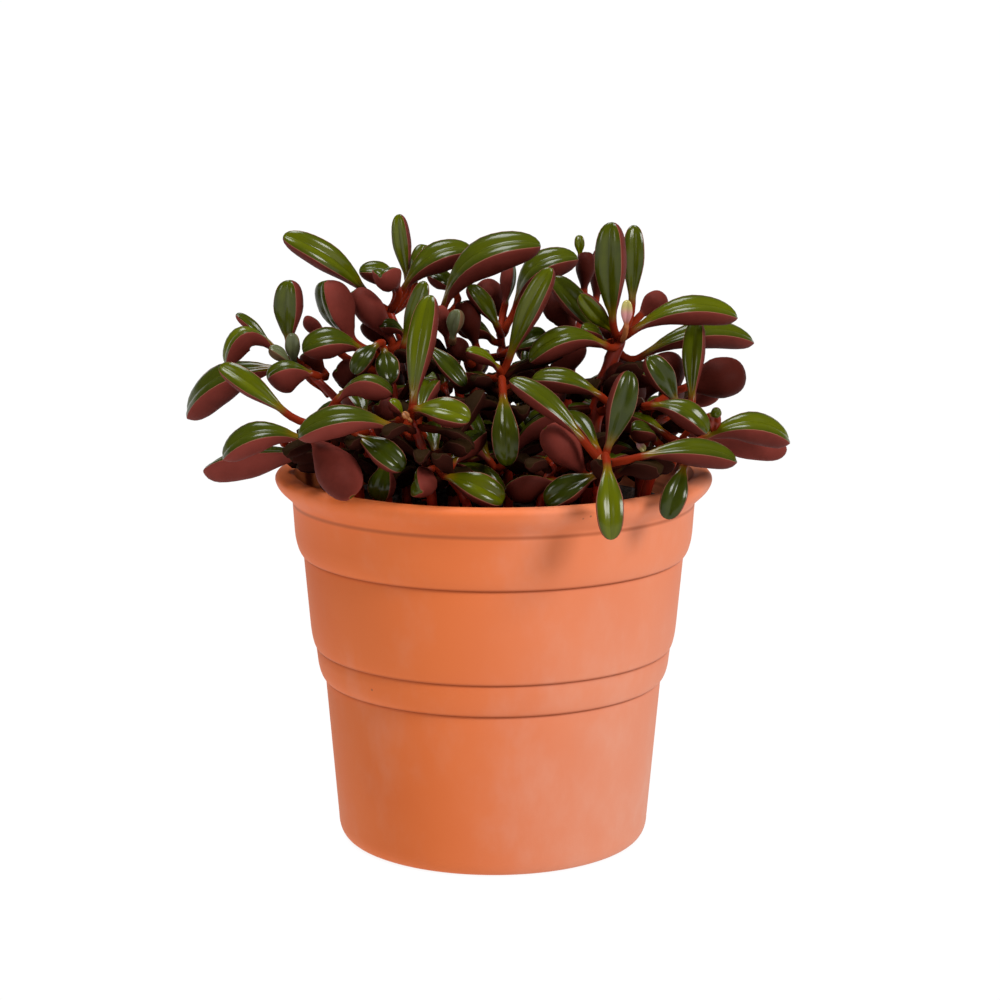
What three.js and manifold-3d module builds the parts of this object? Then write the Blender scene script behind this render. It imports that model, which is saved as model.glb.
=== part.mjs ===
// A potted peperomia: a round terracotta-coloured pot with a rolled rim, a collar and two bands,
// potting soil, and red fleshy stems with thick boat-shaped leaves. Millimetres, +Z up, the pot's
// axis on Z, the front towards -Y. The origin is the middle of the pot's flat underside.
import * as THREE from "three";
import { mergeVertices } from "three/addons/utils/BufferGeometryUtils.js";
import Module from "manifold-3d";

const wasm = await Module();
wasm.setup();

// Pot: the plain wall is a cone, and each band stands further out from it.
const POT = {
  segments: 36,
  footRadius: 40.9,
  footRound: 5,
  wallAtFoot: 43.3,
  taper: 0.083,
  edge: 1.1,
  floor: 6,
};
const BANDS = [
  { from: 45.7, proud: 1.8, round: 5.7 },
  { from: 54.8, proud: 2.9, round: 6.5 },
  { from: 81, proud: 4.8, round: 6.5 },
];
// How far up its rounding a band's profile has a point.
const BAND_STEPS = [0.3, 1];
// The rolled rim from the groove under it, out and over, to the inner wall. Radius, height.
const RIM = [
  [55.9, 95.7],
  [56.6, 97],
  [59.5, 99.8],
  [60.6, 102.1],
  [59.8, 103.5],
  [57.8, 104],
  [55.4, 103.7],
];
const INNER_WALL = [
  [54.3, 101.4],
  [51.7, 92.6],
  [49.2, 78],
  [47, 62],
  [43, 40],
  [39.8, 10],
  [36.6, POT.floor],
];
const DRAIN = { count: 3, radius: 3.5, fromAxis: 20, sides: 16 };

// Soil: it fills the pot to a little below the rim, and its surface is lumpy.
const SOIL = { clear: 0.35, top: 93.4, segments: 18, rings: [0, 12, 24, 35, 45] };
const LUMPS = [
  { height: 1.1, across: 0.31, away: 0.27, shift: 1.1 },
  { height: 0.5, across: 0.11, away: 0.41, shift: 0.4 },
];

// Stems stand in plain holes in the soil.
const STEM = {
  sides: 5,
  steps: 3,
  buried: 12,
  level: 95.4,
  straight: 0.6,
  tipTaper: 0.72,
  highestJoint: 0.96,
  lowerJoint: 0.84,
};
const HOLE = { clear: 0.35, sides: 6 };

// A petiole runs from the stem to its leaf. A thin leaf has a thin petiole.
const PETIOLE = { radius: 1.05, perWidth: 0.24, straight: 0.4, stations: [0.94, 0.16] };

// The corners of a leaf's section as shares of its width: across it, and up from its midline. The
// first is the middle of the upper face, and the next ones are a margin and the keel.
const SECTION = [
  [0, 0.27],
  [0.5, 0.25],
  [0.34, -0.58],
  [-0.34, -0.58],
  [-0.5, 0.25],
];
const LEAF = { stations: [0.14, 0.52, 0.88], neck: 0.3, neckEnd: 0.6, blunt: 7 };

// What stays clear of what.
const CLEAR = {
  gap: 0.5,
  rounds: 90,
  share: 0.3,
  shareOfStem: 0.5,
  free: 0.3,
  leafBeads: [0.06, 0.22, 0.4, 0.6, 0.78, 0.94],
  beadPerWidth: 0.5565,
  beadDrop: 0.105,
  petioleBeads: [0.2, 0.4, 0.6, 0.8],
  stemBeads: 13,
  rim: { radius: 57.4, height: 99.4, thick: 5.2 },
};

// The viewpoint that the front leaves are placed from: its lens sees the pot from the front and a
// little above. A place is a pixel of that view, 1000 wide and high, and a depth Y in millimetres.
const VIEW = {
  x: 1.76,
  aim: 95.2,
  distance: 705.23,
  pitch: 10.72,
  roll: 0.169,
  focal: 2530,
  middle: 500,
};

const degrees = THREE.MathUtils.degToRad;
const vector = (x, y, z) => new THREE.Vector3(x, y, z);

const sight = (() => {
  const pitch = degrees(VIEW.pitch);
  const roll = degrees(VIEW.roll);
  const forward = vector(0, Math.cos(pitch), -Math.sin(pitch));
  const level = vector(1, 0, 0);
  const upright = vector(0, Math.sin(pitch), Math.cos(pitch));
  const right = level.clone().multiplyScalar(Math.cos(roll)).addScaledVector(upright, Math.sin(roll));
  const up = upright.clone().multiplyScalar(Math.cos(roll)).addScaledVector(level, -Math.sin(roll));
  const eye = vector(VIEW.x, 0, VIEW.aim).addScaledVector(forward, -VIEW.distance);
  return { eye, forward, right, up };
})();

// The point at depth y that is seen at a pixel.
function seenAt([column, row], y) {
  const ray = sight.forward
    .clone()
    .addScaledVector(sight.right, (column - VIEW.middle) / VIEW.focal)
    .addScaledVector(sight.up, (VIEW.middle - row) / VIEW.focal);
  return sight.eye.clone().addScaledVector(ray, (y - sight.eye.y) / ray.y);
}

// The pixel that a point is seen at.
function pixelOf(point) {
  const ray = point.clone().sub(sight.eye);
  const scale = VIEW.focal / ray.dot(sight.forward);
  return [VIEW.middle + scale * ray.dot(sight.right), VIEW.middle - scale * ray.dot(sight.up)];
}

// The ways that a leaf's upper face looks.
const UP = vector(0, -0.15, 1);
const UP_FRONT = vector(0, -0.6, 1);
const UP_BACK = vector(0, 0.35, 1);
const FRONT = vector(0, -1, 0.2);
const FRONT_UP = vector(0, -1, 0.8);
const FRONT_LEFT = vector(-0.5, -1, 0.3);
const FRONT_RIGHT = vector(0.5, -1, 0.3);
const LEFT = vector(-1, -0.45, 0.1);
const RIGHT = vector(1, -0.2, 0.1);
const BACK = vector(0, 1, 0.35);
const UPRIGHT = vector(0, 0, 1);

// A leaf of the front view: the pixels of its base and tip, the depth of each, its width, how far
// its midline arches towards its upper face, the way that face looks, and how far up the stem its
// petiole starts.
function leaf(base, tip, depth, width, arch, face, from = 1) {
  return { base, tip, depth, width, arch, face, from };
}

// The stems of the front view: where each stands in the soil, the pixel and the depth of its
// growing tip, its radius, and its leaves.
const FRONT_STEMS = [
  {
    name: "left_high",
    root: [-19, 9],
    node: [386, 306],
    depth: 12,
    radius: 1.5,
    leaves: [
      leaf([366, 293], [283, 236], [8, 0], 7.6, 3.4, FRONT_UP),
      leaf([396, 292], [359, 272], [12, 8], 6.4, 3.2, UP_FRONT),
      leaf([398, 290], [380, 276], [8, -4], 7.4, 1.6, UP_BACK),
      leaf([404, 289], [474, 252], [14, 16], 8.6, 4.6, UP_FRONT),
      leaf([408, 280], [399, 214], [18, 18], 5.2, 0.4, FRONT_LEFT),
      leaf([414, 284], [425, 245], [26, 30], 5.2, 1, UP_FRONT),
    ],
  },
  {
    name: "left_inner",
    root: [-24, -2],
    node: [376, 348],
    depth: -2,
    radius: 1.5,
    leaves: [
      leaf([361, 350], [303, 352], [-12, -16], 8.4, 3.2, UP_FRONT),
      leaf([354, 341], [325, 281], [-2, -6], 10.6, 1.2, LEFT),
      leaf([391, 340], [353, 291], [4, 2], 8, 1, BACK),
      leaf([326, 338], [304, 318], [6, 8], 4.6, 0.6, UP_BACK, 0.8),
      leaf([377, 345], [354, 374], [-14, -20], 5.6, 1.4, FRONT_UP),
      leaf([384, 350], [390, 384], [-12, -20], 6.8, 0.8, FRONT_UP),
      leaf([404, 345], [425, 281], [-6, -8], 5.4, 0.8, FRONT, 0.85),
      leaf([426, 345], [465, 386], [-10, -16], 5.2, 1.2, FRONT_UP, 0.85),
    ],
  },
  {
    name: "left_outer",
    root: [-32, -8],
    node: [296, 364],
    depth: -10,
    radius: 1.4,
    leaves: [
      leaf([294, 363], [292, 333], [-12, -12], 4.2, 0.4, FRONT),
      leaf([290, 364], [269, 348], [-14, -16], 3.8, 0.6, UP_FRONT),
      leaf([289, 344], [290, 280], [-10, -12], 7.8, 0.4, FRONT_LEFT),
      leaf([270, 344], [236, 314], [-8, -8], 3.2, 0.6, UP_FRONT),
      leaf([275, 350], [227, 365], [-10, -14], 7.4, 6.4, UP),
      leaf([282, 369], [190, 418], [-2, 6], 10.2, 5.6, UP_FRONT),
      leaf([312, 374], [268, 381], [-18, -22], 9.4, 1.4, UP, 0.9),
      leaf([338, 399], [392, 395], [-30, -32], 7.2, 3.6, UP, 0.6),
    ],
  },
  {
    name: "left_low",
    root: [-36, -22],
    node: [318, 424],
    depth: -26,
    radius: 1.6,
    leaves: [
      leaf([286, 413], [220, 366], [-24, -20], 6.2, 1.2, FRONT_RIGHT),
      leaf([304, 440], [224, 459], [-32, -32], 8.2, 5, UP_FRONT),
      leaf([308, 454], [205, 473], [-24, -12], 9, 1.6, UP),
    ],
  },
  {
    name: "front_left",
    root: [-16, -36],
    node: [408, 416],
    depth: -40,
    radius: 1.4,
    leaves: [
      leaf([413, 404], [431, 295], [-38, -30], 7.4, 0.8, FRONT_LEFT),
      leaf([415, 409], [470, 420], [-42, -46], 7.4, 1.6, FRONT_UP),
      leaf([402, 416], [389, 401], [-42, -44], 3.4, 0.6, UP_FRONT),
      leaf([392, 427], [299, 438], [-46, -44], 8.2, 4.4, UP_FRONT),
    ],
  },
  {
    name: "front_left_low",
    root: [-28, -32],
    node: [368, 428],
    depth: -36,
    radius: 1.4,
    leaves: [
      leaf([312, 438], [352, 497], [-48, -50], 11, 0.8, BACK),
      leaf([358, 437], [403, 470], [-46, -50], 7.2, 1.4, FRONT_UP),
      leaf([388, 462], [380, 501], [-38, -38], 7.2, 0.4, FRONT_LEFT, 0.5),
    ],
  },
  {
    name: "front_low",
    root: [-6, -40],
    node: [436, 466],
    depth: -40,
    radius: 1.3,
    leaves: [
      leaf([445, 476], [503, 502], [-44, -46], 7.8, 1.4, FRONT_UP),
      leaf([430, 470], [421, 492], [-42, -54], 7.2, 1, BACK),
    ],
  },
  {
    name: "middle_high",
    root: [-8, 12],
    node: [440, 312],
    depth: 10,
    radius: 1.5,
    leaves: [
      leaf([444, 307], [541, 246], [6, 0], 10.6, 7.2, UP_FRONT),
      leaf([456, 294], [428, 275], [18, 20], 5.6, 1.6, UP_FRONT),
      leaf([449, 341], [436, 307], [0, -4], 5.4, 0.8, BACK),
      leaf([453, 338], [459, 310], [-2, -6], 4.6, 0.6, FRONT_LEFT),
    ],
  },
  {
    name: "middle_back",
    root: [4, 24],
    node: [500, 330],
    depth: 26,
    radius: 1.4,
    leaves: [
      leaf([517, 303], [578, 259], [28, 26], 9, 5.6, UP_FRONT),
      leaf([505, 305], [511, 262], [34, 36], 5, 0.4, RIGHT),
      leaf([497, 326], [468, 286], [20, 14], 5.4, 1.2, FRONT_UP),
      leaf([503, 317], [478, 283], [36, 38], 9, 0.8, BACK),
    ],
  },
  {
    name: "middle",
    root: [4, -10],
    node: [500, 372],
    depth: -12,
    radius: 1.4,
    leaves: [
      leaf([509, 359], [552, 268], [-12, -16], 6.8, 1.2, FRONT_LEFT),
      leaf([498, 368], [466, 351], [-14, -18], 4.2, 1, UP_FRONT),
      leaf([503, 394], [507, 466], [-28, -34], 7.6, 0.8, FRONT, 0.9),
    ],
  },
  {
    name: "right_back",
    root: [20, 28],
    node: [588, 294],
    depth: 34,
    radius: 1.5,
    leaves: [
      leaf([580, 256], [579, 235], [36, 36], 3, 0.3, FRONT),
      leaf([584, 291], [587, 252], [32, 32], 5.8, 0.6, BACK),
      leaf([596, 300], [604, 246], [42, 46], 6.6, 0.6, BACK),
    ],
  },
  {
    name: "right_high",
    root: [26, -4],
    node: [622, 335],
    depth: -2,
    radius: 2.3,
    leaves: [
      leaf([613, 322], [612, 222], [-6, -8], 8.6, 0.8, FRONT_LEFT),
      leaf([632, 304], [634, 225], [6, 8], 6.2, 0.6, FRONT),
      leaf([614, 331], [580, 294], [-2, -6], 5.4, 1, FRONT_LEFT),
      leaf([640, 316], [666, 296], [8, 12], 6.4, 0.6, BACK),
      leaf([633, 331], [737, 318], [-10, -8], 8, 5, UP_FRONT),
      leaf([606, 346], [530, 362], [-12, -16], 7.8, 5.2, UP_FRONT),
      leaf([603, 339], [552, 278], [6, 8], 7.2, 1, FRONT_UP),
      leaf([574, 331], [547, 294], [10, 12], 9, 0.8, BACK),
      leaf([604, 342], [581, 329], [-2, -6], 4.8, 1, UP_FRONT),
      leaf([626, 327], [627, 300], [-12, -14], 3.2, 0.3, FRONT),
      leaf([641, 357], [753, 343], [4, 12], 7.8, 5.6, UP_FRONT, 0.9),
      leaf([600, 396], [532, 380], [-24, -22], 6.8, 2.4, UP_FRONT, 0.5),
    ],
  },
  {
    name: "right_middle",
    root: [40, -12],
    node: [656, 402],
    depth: -18,
    radius: 1.5,
    leaves: [
      leaf([692, 402], [697, 319], [-14, -4], 6.2, 0.6, FRONT_LEFT),
      leaf([684, 388], [746, 375], [-6, -2], 11, 1, BACK),
      leaf([688, 408], [719, 393], [4, 8], 4.6, 0.6, BACK, 0.8),
      leaf([676, 402], [647, 357], [-24, -28], 7, 0.8, FRONT_UP),
      leaf([652, 406], [707, 433], [-32, -36], 7.2, 3, UP_FRONT),
    ],
  },
  {
    name: "front_right",
    root: [27, -38],
    node: [603, 462],
    depth: -46,
    radius: 1.5,
    leaves: [
      leaf([583, 440], [510, 380], [-44, -38], 6.2, 2.2, UP_FRONT),
      leaf([607, 450], [629, 371], [-42, -38], 7.4, 0.6, FRONT_RIGHT),
      leaf([607, 464], [611, 540], [-58, -68], 7.2, 1.4, FRONT_UP),
      leaf([596, 475], [546, 504], [-44, -45], 7.4, 1.2, FRONT_UP),
      leaf([584, 474], [545, 428], [-38, -36], 9.4, 0.8, BACK),
      leaf([641, 457], [736, 462], [-46, -40], 7.4, 2.8, UP_FRONT),
    ],
  },
  {
    name: "front_middle",
    root: [12, -38],
    node: [556, 462],
    depth: -36,
    radius: 1.3,
    leaves: [leaf([555, 482], [506, 494], [-40, -40], 7.6, 1, UP_BACK, 0.7)],
  },
  {
    name: "right_low",
    root: [40, -26],
    node: [682, 440],
    depth: -32,
    radius: 1.6,
    leaves: [
      leaf([703, 439], [788, 443], [-30, -26], 8.4, 5, UP_FRONT),
      leaf([692, 444], [786, 452], [-22, -14], 7.8, 1.8, UP_BACK),
      leaf([713, 433], [715, 411], [-30, -32], 3.6, 0.4, FRONT),
      leaf([684, 466], [666, 519], [-46, -50], 6.8, 1, FRONT),
      leaf([655, 440], [632, 430], [-30, -36], 6, 1, UP_FRONT, 0.8),
    ],
  },
];

// Stems that the front view doesn't show grow by a rule, at the back and inside, from a seeded draw.
const HIDDEN = {
  seed: 8111,
  tries: 70,
  behind: { leaves: 2, middle: 90, spread: 110 },
  groups: [
    { name: "back_outer", count: 7, turn: [0, 180], root: [30, 43], reach: [12, 20], height: [106, 118] },
    { name: "back_inner", count: 4, turn: [15, 165], root: [10, 27], reach: [3, 10], height: [112, 128] },
    { name: "inside", count: 3, turn: [190, 350], root: [6, 28], reach: [0, 5], height: [106, 118] },
  ],
  leaves: 5,
  cover: 0.6,
  stray: [-10, 10],
  scatter: [-25, 25],
  radius: [1.2, 1.6],
  petiole: [3, 8],
  length: [15, 28],
  width: [5.6, 7.2],
  arch: [1, 4],
  climb: [-12, 58],
  droop: [4, 30],
  halfWidth: 79,
  depth: 80,
  overPot: 51,
  lowest: 100,
};
// The hidden leaves stay between two lines of the front view and behind the leaves of the front, so
// that its gaps stay open and the pot's rim stays bare.
const SKYLINE = [
  [190, 472],
  [250, 452],
  [285, 436],
  [318, 418],
  [334, 372],
  [350, 346],
  [430, 336],
  [560, 332],
  [640, 352],
  [700, 372],
  [712, 425],
  [785, 447],
];
const RIMLINE = [
  [190, 472],
  [290, 474],
  [350, 490],
  [500, 506],
  [650, 488],
  [700, 462],
  [785, 458],
];

// Places where the front view sees through the plant, and how wide they are.
const OPENINGS = {
  radius: 6,
  places: [
    [353, 338],
    [373, 294],
    [390, 297],
    [397, 307],
    [436, 297],
    [498, 360],
    [570, 288],
    [590, 368],
    [658, 342],
  ],
};

// A seeded draw between two limits.
const DRAW = { factor: 16807, modulus: 2147483647 };
function drawFrom(seed) {
  let state = seed;
  return ([low, high]) => {
    state = (state * DRAW.factor) % DRAW.modulus;
    return low + ((high - low) * state) / DRAW.modulus;
  };
}

// A place on a leaf's midline, with the direction along it and the normal of the upper face there.
function midline(blade, t) {
  const along = blade.tip.clone().sub(blade.base).normalize();
  const normal = blade.face.clone().addScaledVector(along, -blade.face.dot(along)).normalize();
  const bend = blade.base.clone().lerp(blade.tip, 0.5).addScaledVector(normal, 2 * blade.arch);
  const curve = new THREE.QuadraticBezierCurve3(blade.base, bend, blade.tip);
  const tangent = curve.getTangent(t);
  const across = tangent.clone().cross(normal).normalize();
  return { point: curve.getPoint(t), tangent, across, normal: across.clone().cross(tangent) };
}

// How wide a leaf is at t, as a share of its width: a narrow neck at the base and a round tip.
function fullness(t) {
  const neck = LEAF.neck + (1 - LEAF.neck) * THREE.MathUtils.smoothstep(t, 0, LEAF.neckEnd);
  return neck * Math.sqrt(1 - t ** LEAF.blunt);
}

function petioleCurve(blade) {
  const start = midline(blade, 0);
  const length = blade.joint.distanceTo(blade.base);
  const bend = blade.base.clone().addScaledVector(start.tangent, -PETIOLE.straight * length);
  return new THREE.QuadraticBezierCurve3(blade.joint, bend, blade.base);
}

// A stem goes straight up out of the soil and then leans to its growing tip.
function stemCurve(stem) {
  const foot = vector(stem.root[0], stem.root[1], STEM.level);
  const bend = vector(foot.x, foot.y, foot.z + STEM.straight * (stem.tip.z - foot.z));
  return new THREE.QuadraticBezierCurve3(foot, bend, stem.tip);
}

// Beads along leaves, petioles and stems, to find what crosses. A bead's share says how far it
// follows the base and the tip of its leaf.
function leafBeads(blade) {
  const beads = CLEAR.leafBeads.map((t) => {
    const at = midline(blade, t);
    const width = blade.width * fullness(t);
    const point = at.point.addScaledVector(at.normal, -CLEAR.beadDrop * width);
    return { point, radius: CLEAR.beadPerWidth * width, tip: t };
  });
  const petiole = petioleCurve(blade);
  CLEAR.petioleBeads.forEach((t) =>
    beads.push({ point: petiole.getPoint(t), radius: PETIOLE.radius, tip: 0 }),
  );
  return beads;
}

function stemBeads(stem) {
  const curve = stemCurve(stem);
  return Array.from({ length: CLEAR.stemBeads }, (_, i) => ({
    point: curve.getPoint(i / (CLEAR.stemBeads - 1)),
    radius: stem.radius,
    tip: 0,
  }));
}

// How far apart along the line of sight two beads have to move, or 0 if they are clear.
function slide(near, far, way) {
  const reach = near.radius + far.radius + CLEAR.gap;
  const between = near.point.clone().sub(far.point);
  if (between.lengthSq() >= reach * reach) return 0;
  const along = between.dot(way);
  const root = Math.sqrt(along * along - between.lengthSq() + reach * reach);
  return along >= 0 ? root - along : -root - along;
}

// How far a bead has to move along the line of sight to clear the rim, or 0.
function slideOffRim(bead, way) {
  const fromAxis = Math.hypot(bead.point.x, bead.point.y);
  const off = Math.hypot(fromAxis - CLEAR.rim.radius, bead.point.z - CLEAR.rim.height);
  const reach = bead.radius + CLEAR.rim.thick;
  if (off >= reach) return 0;
  return (reach - off) * Math.sign(way.y) * (fromAxis > CLEAR.rim.radius ? -1 : 1);
}

// Leaves that would cross are slid apart along the line of sight, a little at a time.
function bendClear(stems) {
  const blades = stems.flatMap((stem) => stem.blades.map((blade) => ({ blade, stem })));
  const still = stems.map((stem) => ({ stem, beads: stemBeads(stem) }));
  const ways = blades.map(({ blade }) => {
    const middle = blade.base.clone().lerp(blade.tip, 0.5);
    return middle.sub(sight.eye).normalize();
  });
  for (let round = 0; round < CLEAR.rounds; round += 1) {
    const beads = blades.map(({ blade }) => leafBeads(blade));
    const moves = blades.map(() => ({ base: 0, tip: 0 }));
    const push = (index, bead, amount) => {
      const least = (1 - bead.tip) ** 2 + bead.tip ** 2;
      moves[index].base += (amount * (1 - bead.tip)) / least;
      moves[index].tip += (amount * bead.tip) / least;
    };
    blades.forEach((one, i) => {
      blades.slice(i + 1).forEach((other, offset) => {
        const j = i + 1 + offset;
        const siblings = one.stem === other.stem;
        worst(beads[i], beads[j], ways[i], siblings).forEach(({ a, b, amount }) => {
          push(i, a, CLEAR.share * amount);
          push(j, b, -CLEAR.share * amount);
        });
      });
      still.forEach(({ stem, beads: fixed }) => {
        if (stem === one.stem) return;
        worst(beads[i], fixed, ways[i], false).forEach(({ a, amount }) => {
          push(i, a, CLEAR.shareOfStem * amount);
        });
      });
      beads[i].forEach((bead) => push(i, bead, CLEAR.share * slideOffRim(bead, ways[i])));
    });
    blades.forEach(({ blade }, i) => {
      blade.base.addScaledVector(ways[i], moves[i].base);
      blade.tip.addScaledVector(ways[i], moves[i].tip);
    });
  }
}

// The deepest crossing between two rows of beads. Leaves of one stem may meet near their bases.
function worst(beads, others, way, siblings) {
  let found = [];
  let most = 0;
  beads.forEach((a) => {
    others.forEach((b) => {
      if (siblings && (a.tip <= CLEAR.free || b.tip <= CLEAR.free)) return;
      const amount = slide(a, b, way);
      if (Math.abs(amount) > most) {
        most = Math.abs(amount);
        found = [{ a, b, amount }];
      }
    });
  });
  return found;
}

function frontStems() {
  return FRONT_STEMS.map((given) => {
    const stem = { ...given, tip: seenAt(given.node, given.depth) };
    const curve = stemCurve(stem);
    stem.blades = given.leaves.map((row) => ({
      base: seenAt(row.base, row.depth[0]),
      tip: seenAt(row.tip, row.depth[1]),
      width: row.width,
      arch: row.arch,
      face: row.face,
      joint: curve.getPoint(Math.min(row.from, STEM.highestJoint)),
    }));
    return stem;
  });
}

// The row of a line of the front view at a column. Beyond its ends the line runs on level.
function rowAt(line, column) {
  const next = line.findIndex(([x]) => x > column);
  if (next < 1) return line.at(next)[1];
  const [x0, y0] = line[next - 1];
  const [x1, y1] = line[next];
  return y0 + ((y1 - y0) * (column - x0)) / (x1 - x0);
}

const apart = (bead, other, gap) =>
  bead.point.distanceTo(other.point) > bead.radius + other.radius + gap;

// True for a bead that closes no opening and covers no leaf of the front, and that the front view
// shows between those lines or behind such a leaf.
function staysHidden(bead, screen) {
  const [column, row] = pixelOf(bead.point);
  const scale = VIEW.focal / VIEW.distance;
  const reach = bead.radius * scale;
  const closes = ([x, y]) => Math.hypot(x - column, y - row) < reach + OPENINGS.radius;
  if (OPENINGS.places.some(closes)) return false;
  const off = ({ seen }) => Math.hypot(seen[0] - column, seen[1] - row);
  const covers = (other) => other.point.y > bead.point.y && off(other) < reach + other.radius * scale;
  if (screen.some((other) => other.tip > CLEAR.free && covers(other))) return false;
  if (row - reach > rowAt(SKYLINE, column) && row + reach < rowAt(RIMLINE, column)) return true;
  return screen.some((other) => {
    return other.point.y < bead.point.y && off(other) + HIDDEN.cover * reach < other.radius * scale;
  });
}

function fits(beads, placed, screen) {
  return beads.every((bead) => {
    const overPot = Math.hypot(bead.point.x, bead.point.y) + bead.radius < HIDDEN.overPot;
    const floor = overPot ? STEM.level : HIDDEN.lowest;
    return (
      bead.point.z - bead.radius > floor &&
      Math.abs(bead.point.x) + bead.radius < HIDDEN.halfWidth &&
      bead.point.y + bead.radius < HIDDEN.depth &&
      slideOffRim(bead, UP_BACK) === 0 &&
      placed.every((other) => apart(bead, other, CLEAR.gap)) &&
      staysHidden(bead, screen)
    );
  });
}

// Adds leaves round a stem's growing tip, each drawn again until it is clear of everything.
function addHiddenLeaves(stem, whorl, placed, screen, draw) {
  const curve = stemCurve(stem);
  for (let number = 0; number < whorl.leaves; number += 1) {
    const middle = whorl.middle + ((number + 0.5) / whorl.leaves - 0.5) * whorl.spread;
    for (let attempt = 0; attempt < HIDDEN.tries; attempt += 1) {
      const turn = degrees(middle + draw(HIDDEN.scatter));
      const climb = degrees(draw(HIDDEN.climb));
      const lower = climb - degrees(draw(HIDDEN.droop));
      const joint = curve.getPoint(number % 2 ? STEM.highestJoint : STEM.lowerJoint);
      const way = (rise) =>
        vector(Math.cos(turn) * Math.cos(rise), Math.sin(turn) * Math.cos(rise), Math.sin(rise));
      const base = joint.clone().addScaledVector(way(climb), draw(HIDDEN.petiole));
      const tip = base.clone().addScaledVector(way(lower), draw(HIDDEN.length));
      const blade = { base, tip, width: draw(HIDDEN.width), arch: draw(HIDDEN.arch), face: UPRIGHT, joint };
      const beads = leafBeads(blade);
      const siblings = stem.blades.flatMap(leafBeads).filter((bead) => bead.tip > CLEAR.free);
      const free = beads.filter((bead) => bead.tip > CLEAR.free);
      if (!free.every((bead) => siblings.every((other) => apart(bead, other, 0)))) continue;
      if (!fits(beads, placed, screen)) continue;
      stem.blades.push(blade);
      break;
    }
  }
}

function hiddenStem(group, number, draw) {
  const [from, to] = group.turn;
  const turn = from + ((number + 0.5) / group.count) * (to - from) + draw(HIDDEN.stray);
  const [across, away] = [Math.cos(degrees(turn)), Math.sin(degrees(turn))];
  const foot = draw(group.root);
  const reach = foot + draw(group.reach);
  return {
    name: group.name + "_" + (number + 1),
    turn,
    root: [foot * across, foot * away],
    tip: vector(reach * across, reach * away, draw(group.height)),
    radius: draw(HIDDEN.radius),
    blades: [],
  };
}

// The back of the front stems is leafed first, and then the hidden stems are grown.
function growHidden(front) {
  const draw = drawFrom(HIDDEN.seed);
  const beadsOf = (stem) => [...stemBeads(stem), ...stem.blades.flatMap(leafBeads)];
  const screen = front
    .flatMap((stem) => stem.blades.flatMap(leafBeads))
    .filter((bead) => bead.tip > 0)
    .map((bead) => ({ ...bead, seen: pixelOf(bead.point) }));
  front.forEach((stem) => {
    const others = front.filter((other) => other !== stem).flatMap(beadsOf);
    addHiddenLeaves(stem, HIDDEN.behind, others, screen, draw);
  });
  const placed = front.flatMap(beadsOf);
  const hidden = [];
  HIDDEN.groups.forEach((group) => {
    for (let number = 0; number < group.count; number += 1) {
      for (let attempt = 0; attempt < HIDDEN.tries; attempt += 1) {
        const stem = hiddenStem(group, number, draw);
        const clear = (bead) => placed.every((other) => apart(bead, other, CLEAR.gap));
        if (!stemBeads(stem).every(clear)) continue;
        const whorl = { leaves: HIDDEN.leaves, middle: stem.turn, spread: 360 };
        addHiddenLeaves(stem, whorl, placed, screen, draw);
        if (!stem.blades.length) continue;
        placed.push(...beadsOf(stem));
        hidden.push(stem);
        break;
      }
    }
  });
  return hidden;
}

// Welds a shape's seams, so that it is one closed surface of bare places.
const WELD = 1e-3;
function welded(geometry) {
  geometry.deleteAttribute("normal");
  geometry.deleteAttribute("uv");
  return mergeVertices(geometry, WELD);
}

// Moves every vertex of a shape by a rule.
function reshape(geometry, rule) {
  const places = geometry.getAttribute("position");
  for (let i = 0; i < places.count; i += 1) {
    const to = rule(vector(places.getX(i), places.getY(i), places.getZ(i)));
    places.setXYZ(i, to.x, to.y, to.z);
  }
  return geometry;
}

// A tube through rings of a centre, a direction and a radius. The first ring lies level.
function tube(rings, sides) {
  const frames = [];
  let first = vector(0, 1, 0);
  rings.forEach(({ tangent }) => {
    first = first.clone().addScaledVector(tangent, -first.dot(tangent)).normalize();
    frames.push({ first, second: first.clone().cross(tangent) });
  });
  const steps = rings.length - 1;
  return reshape(welded(new THREE.CylinderGeometry(1, 1, 1, sides, steps)), (from) => {
    const step = Math.round((from.y + 0.5) * steps);
    const { point, radius } = rings[step];
    return point
      .clone()
      .addScaledVector(frames[step].first, from.x * radius)
      .addScaledVector(frames[step].second, from.z * radius);
  });
}

// The rings of a leaf with its petiole, from the stem to the tip.
function leafRings(blade) {
  const curve = petioleCurve(blade);
  const radius = Math.min(PETIOLE.radius, PETIOLE.perWidth * blade.width);
  const rings = LEAF.stations.map((t) => ({ ...midline(blade, t), width: blade.width * fullness(t) }));
  let normal = midline(blade, 0).normal;
  PETIOLE.stations.forEach((t) => {
    const tangent = curve.getTangent(t);
    normal = normal.clone().addScaledVector(tangent, -normal.dot(tangent)).normalize();
    rings.unshift({ point: curve.getPoint(t), across: tangent.clone().cross(normal), normal, radius });
  });
  rings.unshift({ point: blade.joint });
  rings.push({ point: blade.tip });
  return rings;
}

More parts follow.
